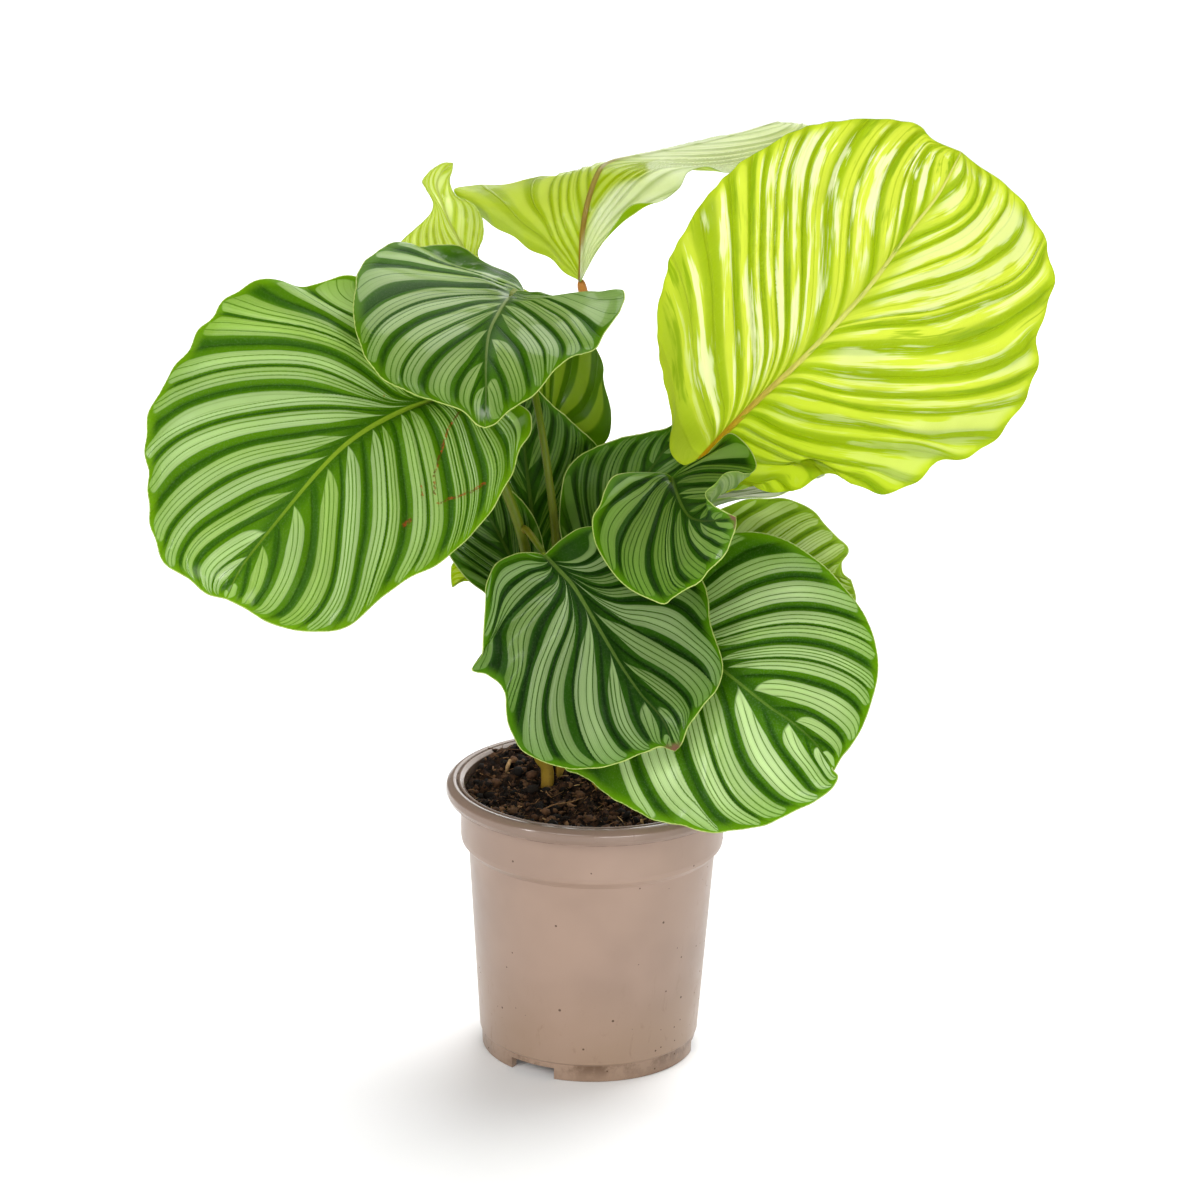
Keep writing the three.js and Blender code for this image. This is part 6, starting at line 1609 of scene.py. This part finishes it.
# crumbs: rough lumps half sunk in the bed
bm = bmesh.new()
bmesh.ops.create_icosphere(bm, subdivisions=1, radius=1.0)
ico_v = np.array([v.co[:] for v in bm.verts])
ico_f = [[v.index for v in f.verts] for f in bm.faces]
bm.free()
verts, faces, tone = [], [], []
N_CRUMB = 2400
xy = np.array([spot() for _ in range(N_CRUMB)])
zz = peat_top(xy[:, 0], xy[:, 1])
for (x, y), z in zip(xy, zz):
    size = min(rnd.lognormvariate(0.12, 0.58), 4.0)
    sc = np.array([size * rnd.uniform(0.6, 1.3), size * rnd.uniform(0.6, 1.3), size * rnd.uniform(0.5, 0.9)])
    rot = np.array(Matrix.Rotation(rnd.uniform(0, 6.28), 3, 'Z') @ Matrix.Rotation(rnd.uniform(-0.7, 0.7), 3, 'X'))
    ph = Vector((rnd.uniform(0, 50), rnd.uniform(0, 50), 0))
    bump = np.array([1 + 0.85 * noise.noise(Vector(v) * 1.9 + ph) for v in ico_v])
    p = (ico_v * bump[:, None] * sc) @ rot.T + np.array([x, y, z + sc[2] * rnd.uniform(0.0, 0.7)])
    r = np.hypot(p[:, 0], p[:, 1])
    over = r > 73.3
    p[over, :2] *= (73.3 / r[over])[:, None]
    p[:, 2] = np.minimum(p[:, 2], 166.0)
    base = len(verts)
    verts += p.tolist()
    faces += [[base + k for k in f] for f in ico_f]
    tone += [rnd.random()] * len(ico_v)
crumbs = mesh_object('peat_crumbs', verts, faces, [CRUMB])
put_uv(crumbs.data, 'Bit', np.array(tone), np.array(tone))
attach(crumbs, 'root')


# fibres, bark slivers and the dry twig
def sliver(points, radius, sides=4):
    v, f, run, turn_ = tube(points, radius, sides)
    return v, f


verts, faces, tone = [], [], []


def add_bit(v, f, t):
    base = len(verts)
    verts.extend(v.tolist())
    faces.extend([[base + k for k in q] for q in f])
    tone.extend([t] * len(v))


N_FIB = 820
xy = np.array([spot(71) for _ in range(N_FIB)])
zz = peat_top(xy[:, 0], xy[:, 1])
for (x, y), z in zip(xy, zz):
    length = rnd.lognormvariate(1.35, 0.45)
    a, up = rnd.uniform(0, 6.28), rnd.uniform(-0.12, 0.5)
    d = np.array([math.cos(a), math.sin(a), up])
    bend = np.array([rnd.uniform(-1, 1), rnd.uniform(-1, 1), rnd.uniform(-0.2, 0.9)]) * length * 0.30
    t = np.linspace(-0.5, 0.5, 6)
    p = np.array([x, y, z + 0.9]) + t[:, None] * d * length + (0.25 - t[:, None] ** 2) * bend
    r = np.hypot(p[:, 0], p[:, 1])
    over = r > 73.0
    p[over, :2] *= (73.0 / r[over])[:, None]
    w = rnd.uniform(0.10, 0.30)
    add_bit(*sliver(p, w * (1 - 1.2 * t ** 2), 4), min(rnd.random(), 0.99))
for _ in range(60):
    x, y = spot(70)
    z = float(peat_top(x, y))
    length, a = rnd.uniform(2.5, 6.0), rnd.uniform(0, 6.28)
    d = np.array([math.cos(a), math.sin(a), rnd.uniform(-0.2, 0.5)])
    t = np.linspace(-0.5, 0.5, 4)
    p = np.array([x, y, z + 1.0]) + t[:, None] * d * length
    add_bit(*tube(p, 0.55 * (1 - 1.0 * t ** 2), 6, flat=0.4)[:2], rnd.uniform(0.5, 1.0))
# the upright bark chip, the long bent root in front, the twig on the heap
add_bit(*tube(np.array([[-50.5, 24, 157], [-50.0, 23.4, 161], [-48.4, 23, 165.6]]), [1.0, 1.25, 0.9], 6, flat=0.5)[:2], 0.97)
add_bit(*tube(spline([[-30, -30, 154], [-22, -26, 156.6], [-13, -24, 157.6], [-6, -18, 158.0]])(np.linspace(0, 1, 14)),
              np.linspace(0.45, 0.25, 14), 6)[:2], 0.80)
add_bit(*tube(spline([[-62, 40, 166.2], [-55, 39, 165.6], [-49, 38.5, 166.3], [-41, 38, 166.1]])(np.linspace(0, 1, 12)),
              np.linspace(0.35, 0.20, 12), 5)[:2], 0.05)
add_bit(*tube(np.array([[-53, 39, 165.8], [-53.5, 39.4, 167.6], [-52.8, 39.6, 169.2]]), [0.2, 0.18, 0.1], 5)[:2], 0.05)
add_bit(*tube(np.array([[28, -55, 155.5], [28.4, -55.6, 157.8], [27.8, -56, 160.2]]), [0.8, 1.0, 0.7], 6, flat=0.5)[:2], 0.95)
fibres = mesh_object('peat_fibres', verts, faces, [FIBRE])
put_uv(fibres.data, 'Bit', np.array(tone), np.array(tone))
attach(fibres, 'root')

# -------------------------------------------------------------- floor and light
g = Nodes('floor')
n = g.noise(g.where(), 3.0, 2.0)
FLOOR_MAT = g.finish(g.shader(g.mix(n, (0.955, 0.955, 0.955, 1), (0.97, 0.97, 0.97, 1)), 0.9, Specular_IOR_Level=0.2))
floor = mesh_object('floor', np.array([(-9000, -9000, 0), (9000, -9000, 0), (9000, 9000, 0), (-9000, 9000, 0)]) - np.array([0, 0, 0.15]),
                    [[0, 1, 2, 3]], [FLOOR_MAT], False)

world = bpy.data.worlds.new('studio')
world.use_nodes = True
world.node_tree.nodes['Background'].inputs[0].default_value = (1.0, 1.0, 1.0, 1)
world.node_tree.nodes['Background'].inputs[1].default_value = 0.24
scene.world = world


def aim(ob, at, look):
    scene.collection.objects.link(ob)
    ob.location = at
    ob.rotation_euler = (Vector(look) - Vector(at)).to_track_quat('-Z', 'Y').to_euler()


def softbox(name, at, look, size, power):
    data = bpy.data.lights.new(name, 'AREA')
    data.shape, data.size, data.size_y = 'RECTANGLE', size[0], size[1]
    data.energy = power
    aim(bpy.data.objects.new(name, data), at, look)


def sky_panel(name, at, strength, angle):
    """A very wide far panel: even over the whole floor."""
    data = bpy.data.lights.new(name, 'SUN')
    data.energy, data.angle = strength, math.radians(angle)
    aim(bpy.data.objects.new(name, data), at, (0, 0, 0))


sky_panel('light_above', (0.55, 0.90, 2.2), 2.7, 50)
sky_panel('light_front', (-0.75, -1.75, 1.45), 0.85, 30)
softbox('light_side', (-1.30, -1.10, 0.70), (0.1, 0, 0.45), (0.16, 1.05), 10.5)
softbox('light_low', (0.70, -1.60, 0.26), (0.15, 0, 0.42), (1.1, 0.22), 12)
softbox('light_back', (0.9, 1.7, 1.0), (0.1, 0, 0.4), (2.3, 1.5), 28)

# ------------------------------------------------------------------------ camera
d = np.array([0, math.cos(PITCH), -math.sin(PITCH)])
r0_ = np.array([1.0, 0, 0])
u0_ = np.array([0, math.sin(PITCH), math.cos(PITCH)])
cr, sr = math.cos(ROLL), math.sin(ROLL)
right, up = cr * r0_ + sr * u0_, -sr * r0_ + cr * u0_
eye = (TARGET - d * DISTANCE) * MM
cam_data = bpy.data.cameras.new('camera')
cam_data.sensor_width = 36.0
cam_data.lens = FOCAL_PX / 1200 * 36.0
cam_data.clip_end = 100
cam = bpy.data.objects.new('camera', cam_data)
scene.collection.objects.link(cam)
cam.matrix_world = Matrix([[right[0], up[0], -d[0], eye[0]], [right[1], up[1], -d[1], eye[1]],
                           [right[2], up[2], -d[2], eye[2]], [0, 0, 0, 1]])
scene.camera = cam
scene.view_settings.view_transform = 'Standard'

bpy.context.view_layer.update()
